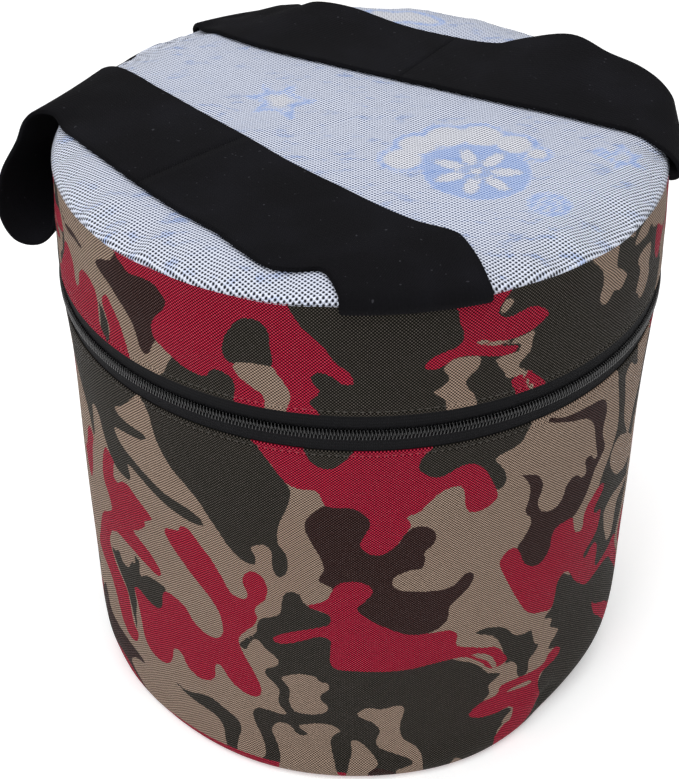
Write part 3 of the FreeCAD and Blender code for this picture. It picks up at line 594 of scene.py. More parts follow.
def round_section(inner, outer, low, high, edge):
    """Closed section, a rectangle with rounded corners, as (radius, height) points."""
    steps = 3
    longest_step = 6
    points = []
    corners = ((outer, low, -90), (outer, high, 0), (inner, high, 90), (inner, low, 180))
    for r, z, first in corners:
        centre_r = r - edge if r == outer else r + edge
        centre_z = z + edge if z == low else z - edge
        for i in range(steps + 1):
            a = math.radians(first + 90 * i / steps)
            points.append((centre_r + edge * math.cos(a), centre_z + edge * math.sin(a)))
    full = []
    for one, other in zip(points, points[1:] + points[:1]):
        pieces = max(1, math.ceil(math.dist(one, other) / longest_step))
        full += [(one[0] + (other[0] - one[0]) * i / pieces,
                  one[1] + (other[1] - one[1]) * i / pieces) for i in range(pieces)]
    return full


# ---- materials ----
def srgb(red, green, blue):
    """Colour from 0 to 255 screen values."""
    def linear(c):
        c = c / 255
        return c / 12.92 if c <= 0.04045 else ((c + 0.055) / 1.055) ** 2.4
    return (linear(red), linear(green), linear(blue), 1.0)


class Look:
    """Small builder for one material's nodes."""

    def __init__(self, name, **surface):
        self.material = bpy.data.materials.new(name)
        self.material.use_nodes = True
        self.tree = self.material.node_tree
        self.tree.nodes.clear()
        self.surface = self.add("ShaderNodeBsdfPrincipled")
        out = self.add("ShaderNodeOutputMaterial")
        self.tree.links.new(self.surface.outputs[0], out.inputs["Surface"])
        for key, value in surface.items():
            self.put(key.replace("_", " "), value)

    def add(self, kind, **settings):
        """A new node with its settings."""
        node = self.tree.nodes.new(kind)
        for key, value in settings.items():
            setattr(node, key, value)
        return node

    def plug(self, socket, value):
        """Links a socket, or sets it to a plain value."""
        if isinstance(value, bpy.types.NodeSocket):
            self.tree.links.new(value, socket)
        else:
            socket.default_value = value

    def put(self, name, value):
        """Links or sets one of the surface shader's inputs."""
        self.plug(self.surface.inputs[name], value)

    def maths(self, operation, *values):
        """Result of one arithmetic step."""
        node = self.add("ShaderNodeMath", operation=operation)
        for socket, value in zip(node.inputs, values):
            self.plug(socket, value)
        return node.outputs[0]

    def ramp(self, value, low, high, to_low=0.0, to_high=1.0):
        """Smooth step between two values."""
        node = self.add("ShaderNodeMapRange", interpolation_type="SMOOTHSTEP")
        for socket, given in zip(node.inputs, (value, low, high, to_low, to_high)):
            self.plug(socket, given)
        return node.outputs[0]

    def mix(self, amount, first, second, blend="MIX"):
        """Blend of two colours."""
        node = self.add("ShaderNodeMix", data_type="RGBA", blend_type=blend)
        self.plug(node.inputs[0], amount)
        self.plug(node.inputs[6], first)
        self.plug(node.inputs[7], second)
        return node.outputs[2]

    def grey(self, value):
        """Grey colour from one value."""
        node = self.add("ShaderNodeCombineColor")
        for socket in node.inputs:
            self.plug(socket, value)
        return node.outputs[0]

    def noise(self, size, detail=2.0, vector=None, rough=0.5):
        """Noise from 0 to 1 with features about size metres across."""
        node = self.add("ShaderNodeTexNoise")
        self.plug(node.inputs["Scale"], 1 / size)
        self.plug(node.inputs["Detail"], detail)
        self.plug(node.inputs["Roughness"], rough)
        self.plug(node.inputs["Vector"], vector or self.place())
        return node.outputs["Fac"]

    def place(self):
        """Place on the piece, in metres."""
        return self.add("ShaderNodeTexCoord").outputs["Object"]

    def cloth(self):
        """The two directions across the cloth, in metres."""
        split = self.add("ShaderNodeSeparateXYZ")
        self.plug(split.inputs[0], self.add("ShaderNodeUVMap", uv_map="cloth").outputs[0])
        return split.outputs[0], split.outputs[1]

    def flat_vector(self, u, v, stretch_u=1.0, stretch_v=1.0):
        """Place on the flat cloth, stretched along each direction."""
        node = self.add("ShaderNodeCombineXYZ")
        self.plug(node.inputs[0], self.maths("MULTIPLY", u, stretch_u))
        self.plug(node.inputs[1], self.maths("MULTIPLY", v, stretch_v))
        return node.outputs[0]

    def value_of(self, name):
        """A value stored on the points of the mesh."""
        return self.add("ShaderNodeAttribute", attribute_name=name).outputs["Fac"]

    def wave(self, value, length, shift=0.0):
        """Sine of a direction, with a wavelength in metres."""
        turned = self.maths("MULTIPLY_ADD", value, 2 * math.pi / length, shift)
        return self.maths("SINE", turned)

    def bump(self, height, deep):
        """Relief with the given depth in metres for a height from 0 to 1."""
        node = self.add("ShaderNodeBump")
        self.plug(node.inputs["Strength"], 1.0)
        self.plug(node.inputs["Distance"], deep)
        self.plug(node.inputs["Height"], height)
        self.put("Normal", node.outputs[0])


SAND = srgb(150, 129, 113)
PINE = srgb(43, 41, 34)
UMBER = srgb(46, 22, 18)
CRIMSON = srgb(158, 4, 45)
INKS = (("pine", PINE), ("umber", UMBER), ("crimson", CRIMSON), ("pine on top", PINE),
        ("sand on top", SAND))


def inked(look):
    """Colour of the print from the distances to its outlines."""
    wander = look.maths("SUBTRACT", look.noise(0.0016, 2.0), 0.5)
    colour = SAND
    for layer, paint in INKS:
        edge = look.maths("MULTIPLY_ADD", wander, 0.9, look.value_of(layer))
        colour = look.mix(look.ramp(edge, 0.16, -0.16), colour, paint)
    return colour


def printed_cloth():
    """Coarse oxford cloth: two-yarn basket weave, checkered by the light on the raised yarns."""
    look = Look("printed_cloth", Roughness=0.62)
    u, v = look.cloth()
    sway = look.maths("MULTIPLY_ADD", look.noise(0.012, 1.0), 0.0006, -0.0003)
    u = look.maths("ADD", u, sway)
    v = look.maths("ADD", v, sway)
    yarn_across, yarn_up = 0.0015, 0.0014
    across, up = look.wave(u, yarn_across), look.wave(v, yarn_up)
    check = look.maths("MULTIPLY", across, up)
    raised = look.ramp(check, -0.6, 0.85)
    fine = look.noise(0.00045, 2.0)
    wear = look.noise(0.05, 3.0)
    colour = inked(look)
    shade = look.maths("MULTIPLY_ADD", raised, 2.0, 0.03)
    shade = look.maths("MULTIPLY", shade, look.maths("MULTIPLY_ADD", fine, 0.4, 0.8))
    shade = look.maths("MULTIPLY", shade, look.maths("MULTIPLY_ADD", wear, 0.16, 0.92))
    colour = look.mix(1.0, colour, look.grey(shade), "MULTIPLY")
    glint = look.maths("MULTIPLY", look.ramp(check, 0.2, 0.95), look.maths(
        "MULTIPLY_ADD", look.ramp(fine, 0.35, 0.7), 0.12, 0.07))
    look.put("Base Color", look.mix(glint, colour, srgb(225, 205, 205)))
    look.put("Roughness", look.maths("MULTIPLY_ADD", raised, -0.16, 0.72))
    look.put("Specular IOR Level", 0.05)
    height = look.maths("MULTIPLY_ADD", fine, 0.25, check)
    look.bump(height, 0.00036)
    return look.material


def printed_thread():
    """Thread on the print, dyed like the cloth under it but a little lighter."""
    look = Look("printed_thread", Roughness=0.5)
    colour = look.mix(0.05, inked(look), srgb(205, 190, 180))
    look.put("Base Color", colour)
    look.put("Specular IOR Level", 0.45)
    look.bump(look.noise(0.0004, 1.0), 0.0001)
    return look.material


def mesh_cloth():
    """Knitted spacer mesh: pale ovals in staggered rows, with dark gaps and pale blue figures; the
    gaps are painted shade, darkest at the rim.
    """
    look = Look("top_mesh_cloth", Roughness=0.5)
    u, v = look.cloth()
    stretch = look.maths("MULTIPLY_ADD", look.noise(0.02, 1.0), 0.0008, -0.0004)
    u, v = look.maths("ADD", u, stretch), look.maths("ADD", v, stretch)
    check = look.maths("MULTIPLY", look.wave(u, 0.0023), look.wave(v, 0.0019))
    oval = look.ramp(check, -0.53, 0.2)
    rim = look.value_of("rim")
    figure = look.value_of("figure")
    white = look.value_of("white")
    streak = look.noise(0.006, 4.0, look.flat_vector(u, v, 0.45, 1.0), 0.65)
    mottle = look.noise(0.03, 2.0)
    ragged = look.maths("MULTIPLY_ADD", look.noise(0.0022, 2.0), 3.2, -1.6)
    ragged = look.maths("MULTIPLY_ADD", check, 0.9, ragged)
    figure = look.maths("ADD", figure, ragged)
    white = look.maths("ADD", white, look.maths("MULTIPLY", ragged, 0.8))
    blue = look.ramp(figure, 0.6, -0.6)
    streaks = look.maths("MULTIPLY", look.ramp(streak, 0.52, 0.68), look.ramp(mottle, 0.3, 0.62))
    pale = look.mix(look.maths("MULTIPLY", streaks, 0.7), srgb(233, 239, 255), srgb(160, 188, 245))
    pale = look.mix(look.maths("MULTIPLY", blue, 0.62), pale, srgb(156, 186, 240))
    pale = look.mix(look.ramp(white, 0.5, -0.5), pale, srgb(244, 246, 254))
    # Painted shade in the gaps between the ovals: darkest at the rim, lighter further in; under the
    # blue and white figures the gaps take the yarn's colour.
    shaded_gap = look.mix(look.ramp(rim, 0.0, 34.0), srgb(12, 16, 32), srgb(78, 90, 122))
    shaded_gap = look.mix(look.maths("MULTIPLY", blue, 0.7), shaded_gap, srgb(104, 138, 205))
    shaded_gap = look.mix(look.ramp(white, 0.4, -0.4, 0.0, 0.8), shaded_gap, srgb(120, 122, 136))
    fibre = look.noise(0.0005, 2.0)
    colour = look.mix(oval, shaded_gap, pale)
    colour = look.mix(1.0, colour, look.grey(look.maths("MULTIPLY_ADD", fibre, 0.24, 0.88)),
                      "MULTIPLY")
    look.put("Base Color", colour)
    look.put("Roughness", look.maths("MULTIPLY_ADD", oval, -0.2, 0.62))
    look.put("Specular IOR Level", 0.3)
    height = look.maths("MULTIPLY_ADD", fibre, 0.15, check)
    look.bump(height, 0.00045)
    return look.material


def handle_cloth():
    """Dense black woven tape, nearly matt, with a fine twill and a little lint."""
    look = Look("handle_cloth", Roughness=0.8)
    u, v = look.cloth()
    twill = look.wave(look.maths("ADD", u, v), 0.0009)
    rib = look.wave(u, 0.0012)
    fine = look.noise(0.0007, 3.0)
    dust = look.ramp(look.noise(0.0021, 1.0), 0.745, 0.79)
    broad_patches = look.noise(0.03, 2.0)
    colour = look.mix(look.maths("MULTIPLY", fine, 0.5), srgb(7, 7, 9), srgb(27, 26, 30))
    # Lighter in broad random patches.
    colour = look.mix(look.ramp(broad_patches, 0.35, 0.8, 0.0, 0.35), colour, srgb(27, 27, 33))
    colour = look.mix(look.maths("MULTIPLY", dust, 0.14), colour, srgb(120, 120, 128))
    look.put("Base Color", colour)
    look.put("Specular IOR Level", 0.06)
    relief = look.maths("MULTIPLY_ADD", rib, 0.4, look.maths("MULTIPLY", twill, 0.6))
    look.bump(look.maths("ADD", relief, fine), 0.00010)
    return look.material


def tape_cloth():
    """Black zipper tape: herringbone rows along it, with darker gaps between them painted as shade.
    """
    look = Look("zip_tape", Roughness=0.75)
    u, v = look.cloth()
    row = look.wave(v, 0.0016)
    slant = look.wave(look.maths("MULTIPLY_ADD", look.maths("ABSOLUTE", row), 0.0007, u), 0.0009)
    weave = look.maths("MULTIPLY", look.ramp(slant, -0.6, 0.8), look.ramp(row, -0.9, -0.2, 0.4))
    fine = look.noise(0.0006, 2.0)
    # Painted shade: darker in the gaps of the weave, lighter on its raised rows, following the
    # relief.
    colour = look.mix(look.maths("MULTIPLY", weave, fine), srgb(9, 9, 11), srgb(44, 44, 48))
    look.put("Base Color", colour)
    look.put("Specular IOR Level", 0.12)
    look.bump(look.maths("ADD", weave, look.maths("MULTIPLY", fine, 0.4)), 0.00022)
    return look.material


def coil_plastic():
    """Black nylon coil, shiny on its bends."""
    look = Look("zip_coil", Roughness=0.2)
    smear = look.noise(0.004, 2.0)
    look.put("Base Color", look.mix(smear, srgb(8, 8, 10), srgb(18, 18, 20)))
    look.put("Roughness", look.maths("MULTIPLY_ADD", smear, 0.1, 0.12))
    look.put("Specular IOR Level", 0.55)
    look.bump(look.noise(0.0008, 1.0), 0.00004)
    return look.material


def black_enamel():
    """Black baked enamel on a cast slider, rubbed through in small random patches."""
    look = Look("slider_metal", Roughness=0.35)
    wear = look.ramp(look.noise(0.0022, 4.0), 0.62, 0.74)
    look.put("Base Color", look.mix(wear, srgb(18, 18, 20), srgb(92, 92, 96)))
    look.put("Metallic", look.maths("MULTIPLY_ADD", wear, 0.5, 0.3))
    look.put("Roughness", look.maths("MULTIPLY_ADD", look.noise(0.001, 3.0), 0.25, 0.22))
    look.put("Coat Weight", 0.3)
    look.put("Coat Roughness", 0.2)
    look.bump(look.noise(0.0009, 3.0), 0.00006)
    return look.material


def foam_block():
    """Grey open-cell foam, with its cells painted darker in their pits as shade."""
    look = Look("foam", Roughness=0.95)
    cells = look.noise(0.0013, 4.0, rough=0.7)
    # Painted shade: darker in the pits of the cell pattern, lighter on its walls.
    look.put("Base Color", look.mix(look.ramp(cells, 0.3, 0.7), srgb(98, 98, 104),
                                    srgb(186, 186, 190)))
    look.put("Specular IOR Level", 0.2)
    look.bump(cells, 0.0009)
    return look.material


def lining():
    """Thin black lining, plain woven with a faint crosswise grain and soft creases; the creases are
    painted lighter on their ridges and darker in their folds as shade.
    """
    look = Look("lining_cloth", Roughness=0.58)
    u, v = look.cloth()
    weave = look.maths("MULTIPLY", look.wave(u, 0.0011), look.wave(v, 0.0011))
    crease = look.noise(0.018, 4.0, look.flat_vector(u, v, 1.0, 0.45))
    fine = look.noise(0.0007, 2.0)
    # Painted light and shade: the colour follows the crease relief, lighter on its ridges, darker in
    # its folds.
    colour = look.mix(look.ramp(crease, 0.3, 0.75), srgb(24, 24, 27), srgb(46, 46, 51))
    colour = look.mix(look.maths("MULTIPLY", fine, 0.4), colour, srgb(64, 64, 70))
    look.put("Base Color", colour)
    look.put("Specular IOR Level", 0.4)
    look.put("Sheen Weight", 0.1)
    height = look.maths("MULTIPLY_ADD", crease, 5.0, look.maths("MULTIPLY", weave, 0.5))
    look.bump(height, 0.00018)
    return look.material


def binding():
    """Black grosgrain seam binding with ribs across it, painted darker in their grooves as shade."""
    look = Look("binding_tape", Roughness=0.7)
    u, v = look.cloth()
    rib = look.wave(u, 0.0013)
    fine = look.noise(0.0006, 2.0)
    # Painted shade: darker in the grooves between the ribs, lighter on their crests.
    colour = look.mix(look.ramp(rib, -0.8, 0.8), srgb(14, 14, 16), srgb(40, 40, 44))
    look.put("Base Color", look.mix(look.maths("MULTIPLY", fine, 0.4), colour, srgb(70, 70, 74)))
    look.put("Specular IOR Level", 0.3)
    look.bump(look.maths("MULTIPLY_ADD", fine, 0.3, rib), 0.0002)
    return look.material


PRINT = printed_cloth()
THREAD = printed_thread()
MESH = mesh_cloth()
HANDLE = handle_cloth()
TAPE = tape_cloth()
COIL = coil_plastic()
ENAMEL = black_enamel()
FOAM = foam_block()
LINING = lining()
BINDING = binding()


# ---- camera, light and floor ----
camera_place = (0.0, -0.5707, 0.5793)
bpy.ops.object.camera_add(location=camera_place)
camera = bpy.context.object
yaw, pitch, roll = -0.0171, 0.6641, -0.0036
ahead = Vector((math.sin(yaw) * math.cos(pitch), math.cos(yaw) * math.cos(pitch),
                -math.sin(pitch)))
camera.rotation_mode = "QUATERNION"
camera.rotation_quaternion = (ahead.to_track_quat("-Z", "Y").to_matrix()
                              @ Matrix.Rotation(roll, 3, "Z")).to_quaternion()
camera.data.lens = 64.7
camera.data.sensor_width = 36
camera.data.clip_start = 0.01
bpy.context.scene.camera = camera

world = bpy.data.worlds.new("studio")
bpy.context.scene.world = world
world.use_nodes = True
world.node_tree.nodes["Background"].inputs["Color"].default_value = (1.0, 1.0, 1.0, 1.0)
world.node_tree.nodes["Background"].inputs["Strength"].default_value = 0.5
bpy.context.scene.view_settings.view_transform = "Standard"


def soft_box(name, place, target, size, watts):
    """White rectangular lamp, aimed at a target."""
    light = bpy.data.lights.new(name, "AREA")
    light.shape = "RECTANGLE"
    light.size, light.size_y = size
    light.energy = watts
    lamp = bpy.data.objects.new(name, light)
    bpy.context.scene.collection.objects.link(lamp)
    lamp.location = place
    aim = Vector(target) - Vector(place)
    lamp.rotation_mode = "QUATERNION"
    lamp.rotation_quaternion = aim.to_track_quat("-Z", "Y")
    return lamp


lamps = [
    soft_box("above", (-0.1, -0.1, 1.9), (0, 0, 0.1), (1.6, 1.6), 23),
    soft_box("key", (-0.65, -1.1, 1.2), (0, 0, 0.12), (0.6, 0.6), 5),
]
paper = Look("paper", Roughness=0.9)
tooth = paper.noise(0.004, 3.0)
paper.put("Base Color", paper.mix(tooth, srgb(244, 244, 244), srgb(249, 249, 249)))
paper.put("Specular IOR Level", 0.1)
paper.put("Emission Color", (1.0, 1.0, 1.0, 1.0))
paper.put("Emission Strength", 0.32)
paper.bump(tooth, 0.00008)
floor_mesh = bpy.data.meshes.new("floor")
far = 6.0
floor_mesh.from_pydata([(-far, -far, 0), (far, -far, 0), (far, far, 0), (-far, far, 0)], [],
                       [(0, 1, 2, 3)])
floor = bpy.data.objects.new("floor", floor_mesh)
bpy.context.scene.collection.objects.link(floor)
floor.location.z = -0.0005
floor_mesh.materials.append(paper.material)


# ---- builders for the bag's pieces ----
def revolve(name, path, columns, material, thick, start=0.0, arc=360.0, push=None, lift=None,
            values=None, side=-1):
    """Sheet round the bag along a path of (radius, height), bent by push and lift."""
    path = np.asarray(path, float)
    closed = arc >= 360
    steps = columns if closed else columns + 1
    angle = start + arc * np.arange(steps) / columns
    z, a = np.meshgrid(path[:, 1], angle, indexing="ij")
    r = np.repeat(path[:, :1], steps, 1)
    if push is not None:
        r = r + push(a, z)
    raised = z if lift is None else z + lift(a, z)
    points = polar(r, a, raised)
    long = np.linalg.norm(np.diff(path, axis=0), axis=1)
    data = values(a, z) if values else None
    rows = len(path)
    faces, row, column = grid_faces(rows, steps, close_columns=closed)
    along = np.concatenate([[0], np.cumsum(long)])
    width = math.radians(arc) * bag_radius
    uv = np.stack([column / columns * width, along[row]], -1) * MM
    piece = make_mesh(name, points, faces, material, uv, data)
    if thick:
        thicken(piece, thick, side)
    return piece


def disc_grid(count):
    """Square grid of points squeezed into a disc of radius 1."""
    t = np.linspace(-1, 1, count)
    y, x = np.meshgrid(t, t, indexing="ij")
    return x * np.sqrt(1 - y * y / 2), y * np.sqrt(1 - x * x / 2)


def disc(name, count, radius, height, material, thick, side=-1, values=None):
    """Round sheet: radius(angle) at its edge and height(x, y, out) over it, out from 0 to 1."""
    ux, uy = disc_grid(count)
    out = np.clip(np.hypot(ux, uy), 0, 1)
    angle = np.degrees(np.arctan2(uy, ux))
    r = radius(angle)
    x, y = ux * r, uy * r
    z = height(x, y, out, angle)
    points = np.stack([x, y, z], -1)
    faces, row, column = grid_faces(count, count)
    flat = points.reshape(-1, 3)[faces][:, :, :2]
    piece = make_mesh(name, points, faces, material, flat * MM,
                      values(x, y) if values else None)
    if thick:
        thicken(piece, thick, side)
    return piece


def settle(piece, held, frames, pressure, shrink, most):
    """Lets a cloth take up its slack in a simulation and keeps the result, at most so many mm from
    where each point started. held is each point's grip, 1 where it is sewn."""
    mesh = piece.data
    group = piece.vertex_groups.new(name="held")
    for value in np.unique(held):
        if value > 0:
            group.add(np.flatnonzero(held == value).tolist(), float(value), "REPLACE")
    cloth = piece.modifiers.new("cloth", "CLOTH")
    settings = cloth.settings
    stiffness = 8.0
    settings.quality = 5
    settings.mass = 0.12
    settings.tension_stiffness = settings.compression_stiffness = stiffness
    settings.shear_stiffness = stiffness / 2
    settings.bending_stiffness = 0.3
    settings.vertex_group_mass = "held"
    settings.shrink_min = shrink
    settings.shrink_max = shrink
    settings.use_pressure = pressure != 0
    settings.uniform_pressure_force = pressure
    settings.effector_weights.gravity = 0.0
    cloth.collision_settings.use_collision = False
    cloth.collision_settings.use_self_collision = False
    cloth.point_cache.frame_start = 1
    cloth.point_cache.frame_end = frames
    before = np.empty(len(mesh.vertices) * 3, np.float32)
    mesh.vertices.foreach_get("co", before)
    scene = bpy.context.scene
    for frame_number in range(1, frames + 1):
        scene.frame_set(frame_number)
    moved = piece.evaluated_get(bpy.context.evaluated_depsgraph_get()).to_mesh()
    after = np.empty(len(mesh.vertices) * 3, np.float32)
    moved.vertices.foreach_get("co", after)
    piece.evaluated_get(bpy.context.evaluated_depsgraph_get()).to_mesh_clear()
    piece.modifiers.remove(cloth)
    scene.frame_set(1)
    shift = (after - before).reshape(-1, 3)
    size = np.linalg.norm(shift, axis=1, keepdims=True) / MM
    shift *= most * np.tanh(size / most) / np.maximum(size, 1e-9)
    mesh.vertices.foreach_set("co", before + shift.ravel())
    mesh.update()
    piece.vertex_groups.clear()


def fold_roll(distance):
    """Roll of a folded and topstitched edge, out from the wall, by distance from the fold."""
    at = (0, 0.3, 0.8, 1.6, 2.5, 3.4, 5, 8)
    out = (-0.4, 0.0, 0.2, 0.2, -0.25, 0.15, 0.1, 0)
    return np.interp(distance, at, out)


def tub_ink(angle, z):
    """Distances to the print of each ink on the tub."""
    return ink(angle, z, TUB_PRINT, fold_low / 2)


def lid_ink(angle, z):
    """Distances to the print of each ink on the lid's band."""
    return ink(angle, z, LID_PRINT, (fold_high + rim_height) / 2)


fold_steps = np.array([0, 0.3, 0.7, 1.1, 1.6, 2.1, 2.5, 2.9, 3.4, 4.2, 5.2, 6.6, 8.2])

# ---- tub ----
wall_heights = np.concatenate([fold_low - fold_steps, np.arange(fold_low - 10, 8, -2.0),
                               [7, 5.6, 4.4, 3.4, 2.5, 1.8, 1.2, 0.8]])
body_cloth = revolve(
    "body_cloth", [(bag_radius, z) for z in wall_heights], print_columns, PRINT, print_sheet,
    push=lambda a, z: wall_push(a, z) + fold_roll(fold_low - z), values=tub_ink, side=1)
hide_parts("body_outer_panel")
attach(body_cloth, "tub")

body_wall_padding = ring(
    "body_wall_padding",
    round_section(foam_out - wall_foam, foam_out - 0.1, foam_low, foam_high, foam_edge),
    foam_columns, FOAM, push=lambda a, z: wall_push(a, z))
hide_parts("body_foam_wall")
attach(body_wall_padding, "tub")


def lining_ripple(angle, z):
    """Soft creases of the lining, in towards the middle of the bag."""
    a = np.radians(angle)
    soft = 0.5 + 0.5 * np.sin(17 * a + z / 21) * np.sin(7 * a - z / 33 + 0.7)
    inside = np.clip(np.minimum(z - floor_top, lining_top - z) / 25, 0, 1)
    return -1.3 * soft * smooth(inside)


lining_r = foam_out - wall_foam - layer_gap
lining_path = [(lining_r, z) for z in np.linspace(floor_lining_low, lining_top - 0.8, 56)]
lining_path += [(lining_r + 0.25, lining_top - 0.2), (lining_r + 1.0, lining_top),
                (foam_out - 2, lining_top), (foam_out - 0.1, lining_top)]
body_lining_cloth = revolve(
    "body_lining_cloth", lining_path, lining_columns, LINING, lining_thick,
    push=lambda a, z: wall_push(a, z) + lining_ripple(a, z), side=1)
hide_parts("body_lining")
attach(body_lining_cloth, "tub")

bottom_cloth = disc(
    "bottom_cloth", 72, lambda a: bag_radius - 0.6 + wall_push(a, 1.0 + 0 * a),
    lambda x, y, out, a: 0.12 + 0.9 * np.clip((out - 0.93) / 0.07, 0, 1) ** 2, PRINT, 0.9, 1,
    values=lambda x, y: {layer: (x * 0 + (-9 if layer == "crimson" else 30))
                         for layer in INK_LAYERS})
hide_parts("bottom_panel")
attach(bottom_cloth, "tub")

bottom_padding = disc(
    "bottom_padding", 48, lambda a: pad_radius - 0.6 + wall_push(a, 4.0 + 0 * a),
    lambda x, y, out, a: pad_low + 0.05 + 0 * x, FOAM, pad_high - pad_low - 0.1, 1)
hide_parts("bottom_foam_pad")
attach(bottom_padding, "tub")


def floor_wave(x, y, out, angle):
    """Height of the bottom lining, with soft waves away from its seam."""
    soft = 0.5 + 0.5 * np.sin(x / 27 + 0.5) * np.sin(y / 22)
    return floor_top - lining_thick + 0.7 * soft * smooth((1 - out) * 8)


bottom_lining_cloth = disc(
    "bottom_lining_cloth", 72, lambda a: lining_r - 0.8 + wall_push(a, 8.0 + 0 * a), floor_wave,
    LINING, lining_thick, 1)
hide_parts("bottom_lining")
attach(bottom_lining_cloth, "tub")

bottom_binding = ring(
    "bottom_binding",
    round_section(binding_out - binding_thick, binding_out, floor_top + 0.1, binding_top,
                  binding_edge), lining_columns, BINDING,
    push=lambda a, z: wall_push(a, z) - 0.5)
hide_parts("bottom_seam_binding")
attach(bottom_binding, "tub")

# ---- zipper ----
zip_start = 90 + hinge_half_deg
zip_arc = 360 - 2 * hinge_half_deg
tape_inset = 0.1
half_gap = 0.15


def zip_tape(name, low, high, node, body):
    """One tape of the zipper, between two heights."""
    rows = np.linspace(low, high, 10)
    piece = revolve(name, [(tape_out, z) for z in rows], tape_columns, TAPE, tape_thick,
                    zip_start + tape_inset, zip_arc - 2 * tape_inset, side=1)
    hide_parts(node)
    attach(piece, body)


zip_tape("zip_tape_low", tape_low, tape_edge_low, "zip_tape_lower", "tub")
zip_tape("zip_tape_up", tape_edge_high, tape_high, "zip_tape_upper", "lid")


def coil(name, way, shift, node, body):
    """Nylon coil along one side of the zipper; its heads reach between those of the other side."""
    wire = 0.28
    pitch = 1.5
    end_gap = 2
    turns = int(math.radians(zip_arc - 2 * end_gap) * bag_radius / pitch)
    each = 12
    sides = 6
    at = np.arange(turns * each + 1) / each
    angle = zip_start + end_gap + np.degrees((at + shift) * pitch / bag_radius)
    turn = 2 * math.pi * at
    tail, head = 2.7 - wire, -0.45
    middle, half = (tail + head) / 2, (tail - head) / 2
    foot = tape_out + 0.15
    mid_r, half_r = (foot + coil_out) / 2, (coil_out - foot) / 2 - wire
    squared = np.sign(np.cos(turn)) * np.abs(np.cos(turn)) ** 0.6
    z = zip_height + way * (middle + half * squared)
    r = mid_r + half_r * np.sign(np.sin(turn)) * np.abs(np.sin(turn)) ** 0.7
    path = polar(r, angle, z)
    ahead_way = np.gradient(path, axis=0)
    ahead_way /= np.linalg.norm(ahead_way, axis=1, keepdims=True)
    a = np.radians(angle)
    along = np.stack([-np.sin(a), np.cos(a), 0 * a], -1)
    side = along - ahead_way * (along * ahead_way).sum(1, keepdims=True)
    side /= np.linalg.norm(side, axis=1, keepdims=True)
    other = np.cross(ahead_way, side)
    around = 2 * math.pi * np.arange(sides) / sides
    points = (path[:, None] + wire * (np.cos(around)[None, :, None] * side[:, None]
                                      + np.sin(around)[None, :, None] * other[:, None]))
    piece = grid_piece(name, points, COIL, (wire * sides, len(path) * 0.6), close_columns=True)
    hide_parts(node)
    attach(piece, body)


coil("zip_coil_low", -1, 0.0, "zip_coil_lower", "tub")
coil("zip_coil_up", 1, 0.5, "zip_coil_upper", "lid")


def stitches(name, height, out, colours, node, body):
    """Row of separate stitches round the bag: each dips into the cloth at its ends."""
    pitch, length, half = 3.3, 2.7, 0.26
    count = int(2 * math.pi * bag_radius / pitch)
    middle = 360.0 * (np.arange(count) + 0.5) / count
    sides = 6
    along = np.linspace(-0.5, 0.5, sides)
    dip = 0.42 * (1 - (2 * along) ** 2) ** 0.5
    around = 2 * math.pi * np.arange(sides) / sides
    angle = middle[:, None] + np.degrees(along * length / bag_radius)[None]
    slim = half * (0.35 + 0.65 * (1 - (2 * along) ** 4))
    r = bag_radius + out(angle, height + 0 * angle) + dip[None] - 0.22
    a = angle[:, :, None] + 0 * around
    radius = r[:, :, None] + slim[None, :, None] * np.cos(around)
    z = height + slim[None, :, None] * np.sin(around) * 1.2 + 0 * a
    z = z + (0.12 * np.sin(middle * 7.0))[:, None, None]
    points = polar(radius, a, z)
    faces, row, column = grid_faces(sides, sides, close_columns=True)
    every = (faces[None] + (np.arange(count) * sides ** 2)[:, None, None]).reshape(-1, 4)
    uv = np.stack([column * 0.3, row * 0.5], -1) * MM
    piece = make_mesh(name, points, every, THREAD, np.tile(uv, (count, 1, 1)),
                      colours(a.ravel(), np.full(a.size, float(height))))
    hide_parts(node)
    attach(piece, body)


stitch_line = 2.5
stitch_sink = 0.35
stitches("topstitch_low", fold_low - stitch_line, lambda a, z: wall_push(a, z) - stitch_sink,
         tub_ink, "topstitch_lower", "tub")
stitches("topstitch_up", fold_high + stitch_line, lambda a, z: 0 * a - stitch_sink, lid_ink,
         "topstitch_upper", "lid")

hinge_reach = 14.0
hinge_cloth = revolve(
    "hinge_cloth", [(tape_out, z) for z in np.linspace(tape_low, tape_high, 41)], 32, TAPE,
    tape_thick, 90 - hinge_reach, 2 * hinge_reach, side=1)
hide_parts("back_hinge_panel")
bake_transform(hinge_cloth)
for side_name, first_deg in (("right", 90 - hinge_half_deg), ("left", 90 + hinge_reach)):
    for half_name, low, high, body in (("low", tape_low, zip_height - half_gap, "tub"),
                                       ("up", zip_height + half_gap, tape_high, "lid")):
        tape_end = revolve(
            f"tape_end_{side_name}_{half_name}", [(tape_out, z) for z in np.linspace(low, high, 10)],
            18, TAPE, tape_thick, first_deg, hinge_half_deg - hinge_reach, side=1)
        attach(tape_end, body)


# ---- lid ----
def band_push(angle, z):
    """How far the lid's band stands out from a true cylinder."""
    return band_radius(angle, z) - bag_radius + fold_roll(z - fold_high)


def seam_lift(angle, z):
    """How far the top of the lid's band follows its uneven seam."""
    return seam_line(angle) * smooth((z - 262) / (rim_height - 262))


band_heights = np.concatenate([fold_high + fold_steps,
                               np.arange(fold_high + 10, rim_height - 2.4, 2.0),
                               [rim_height - 2.2, rim_height - 1.5]])
lid_band_cloth = revolve(
    "lid_band_cloth", [(bag_radius, z) for z in band_heights], print_columns, PRINT, print_sheet,
    push=band_push, lift=seam_lift, values=lid_ink, side=-1)
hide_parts("lid_side_panel")
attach(lid_band_cloth, "lid")

lid_foam_wall_high = span("lid_band_foam", Z)[1]


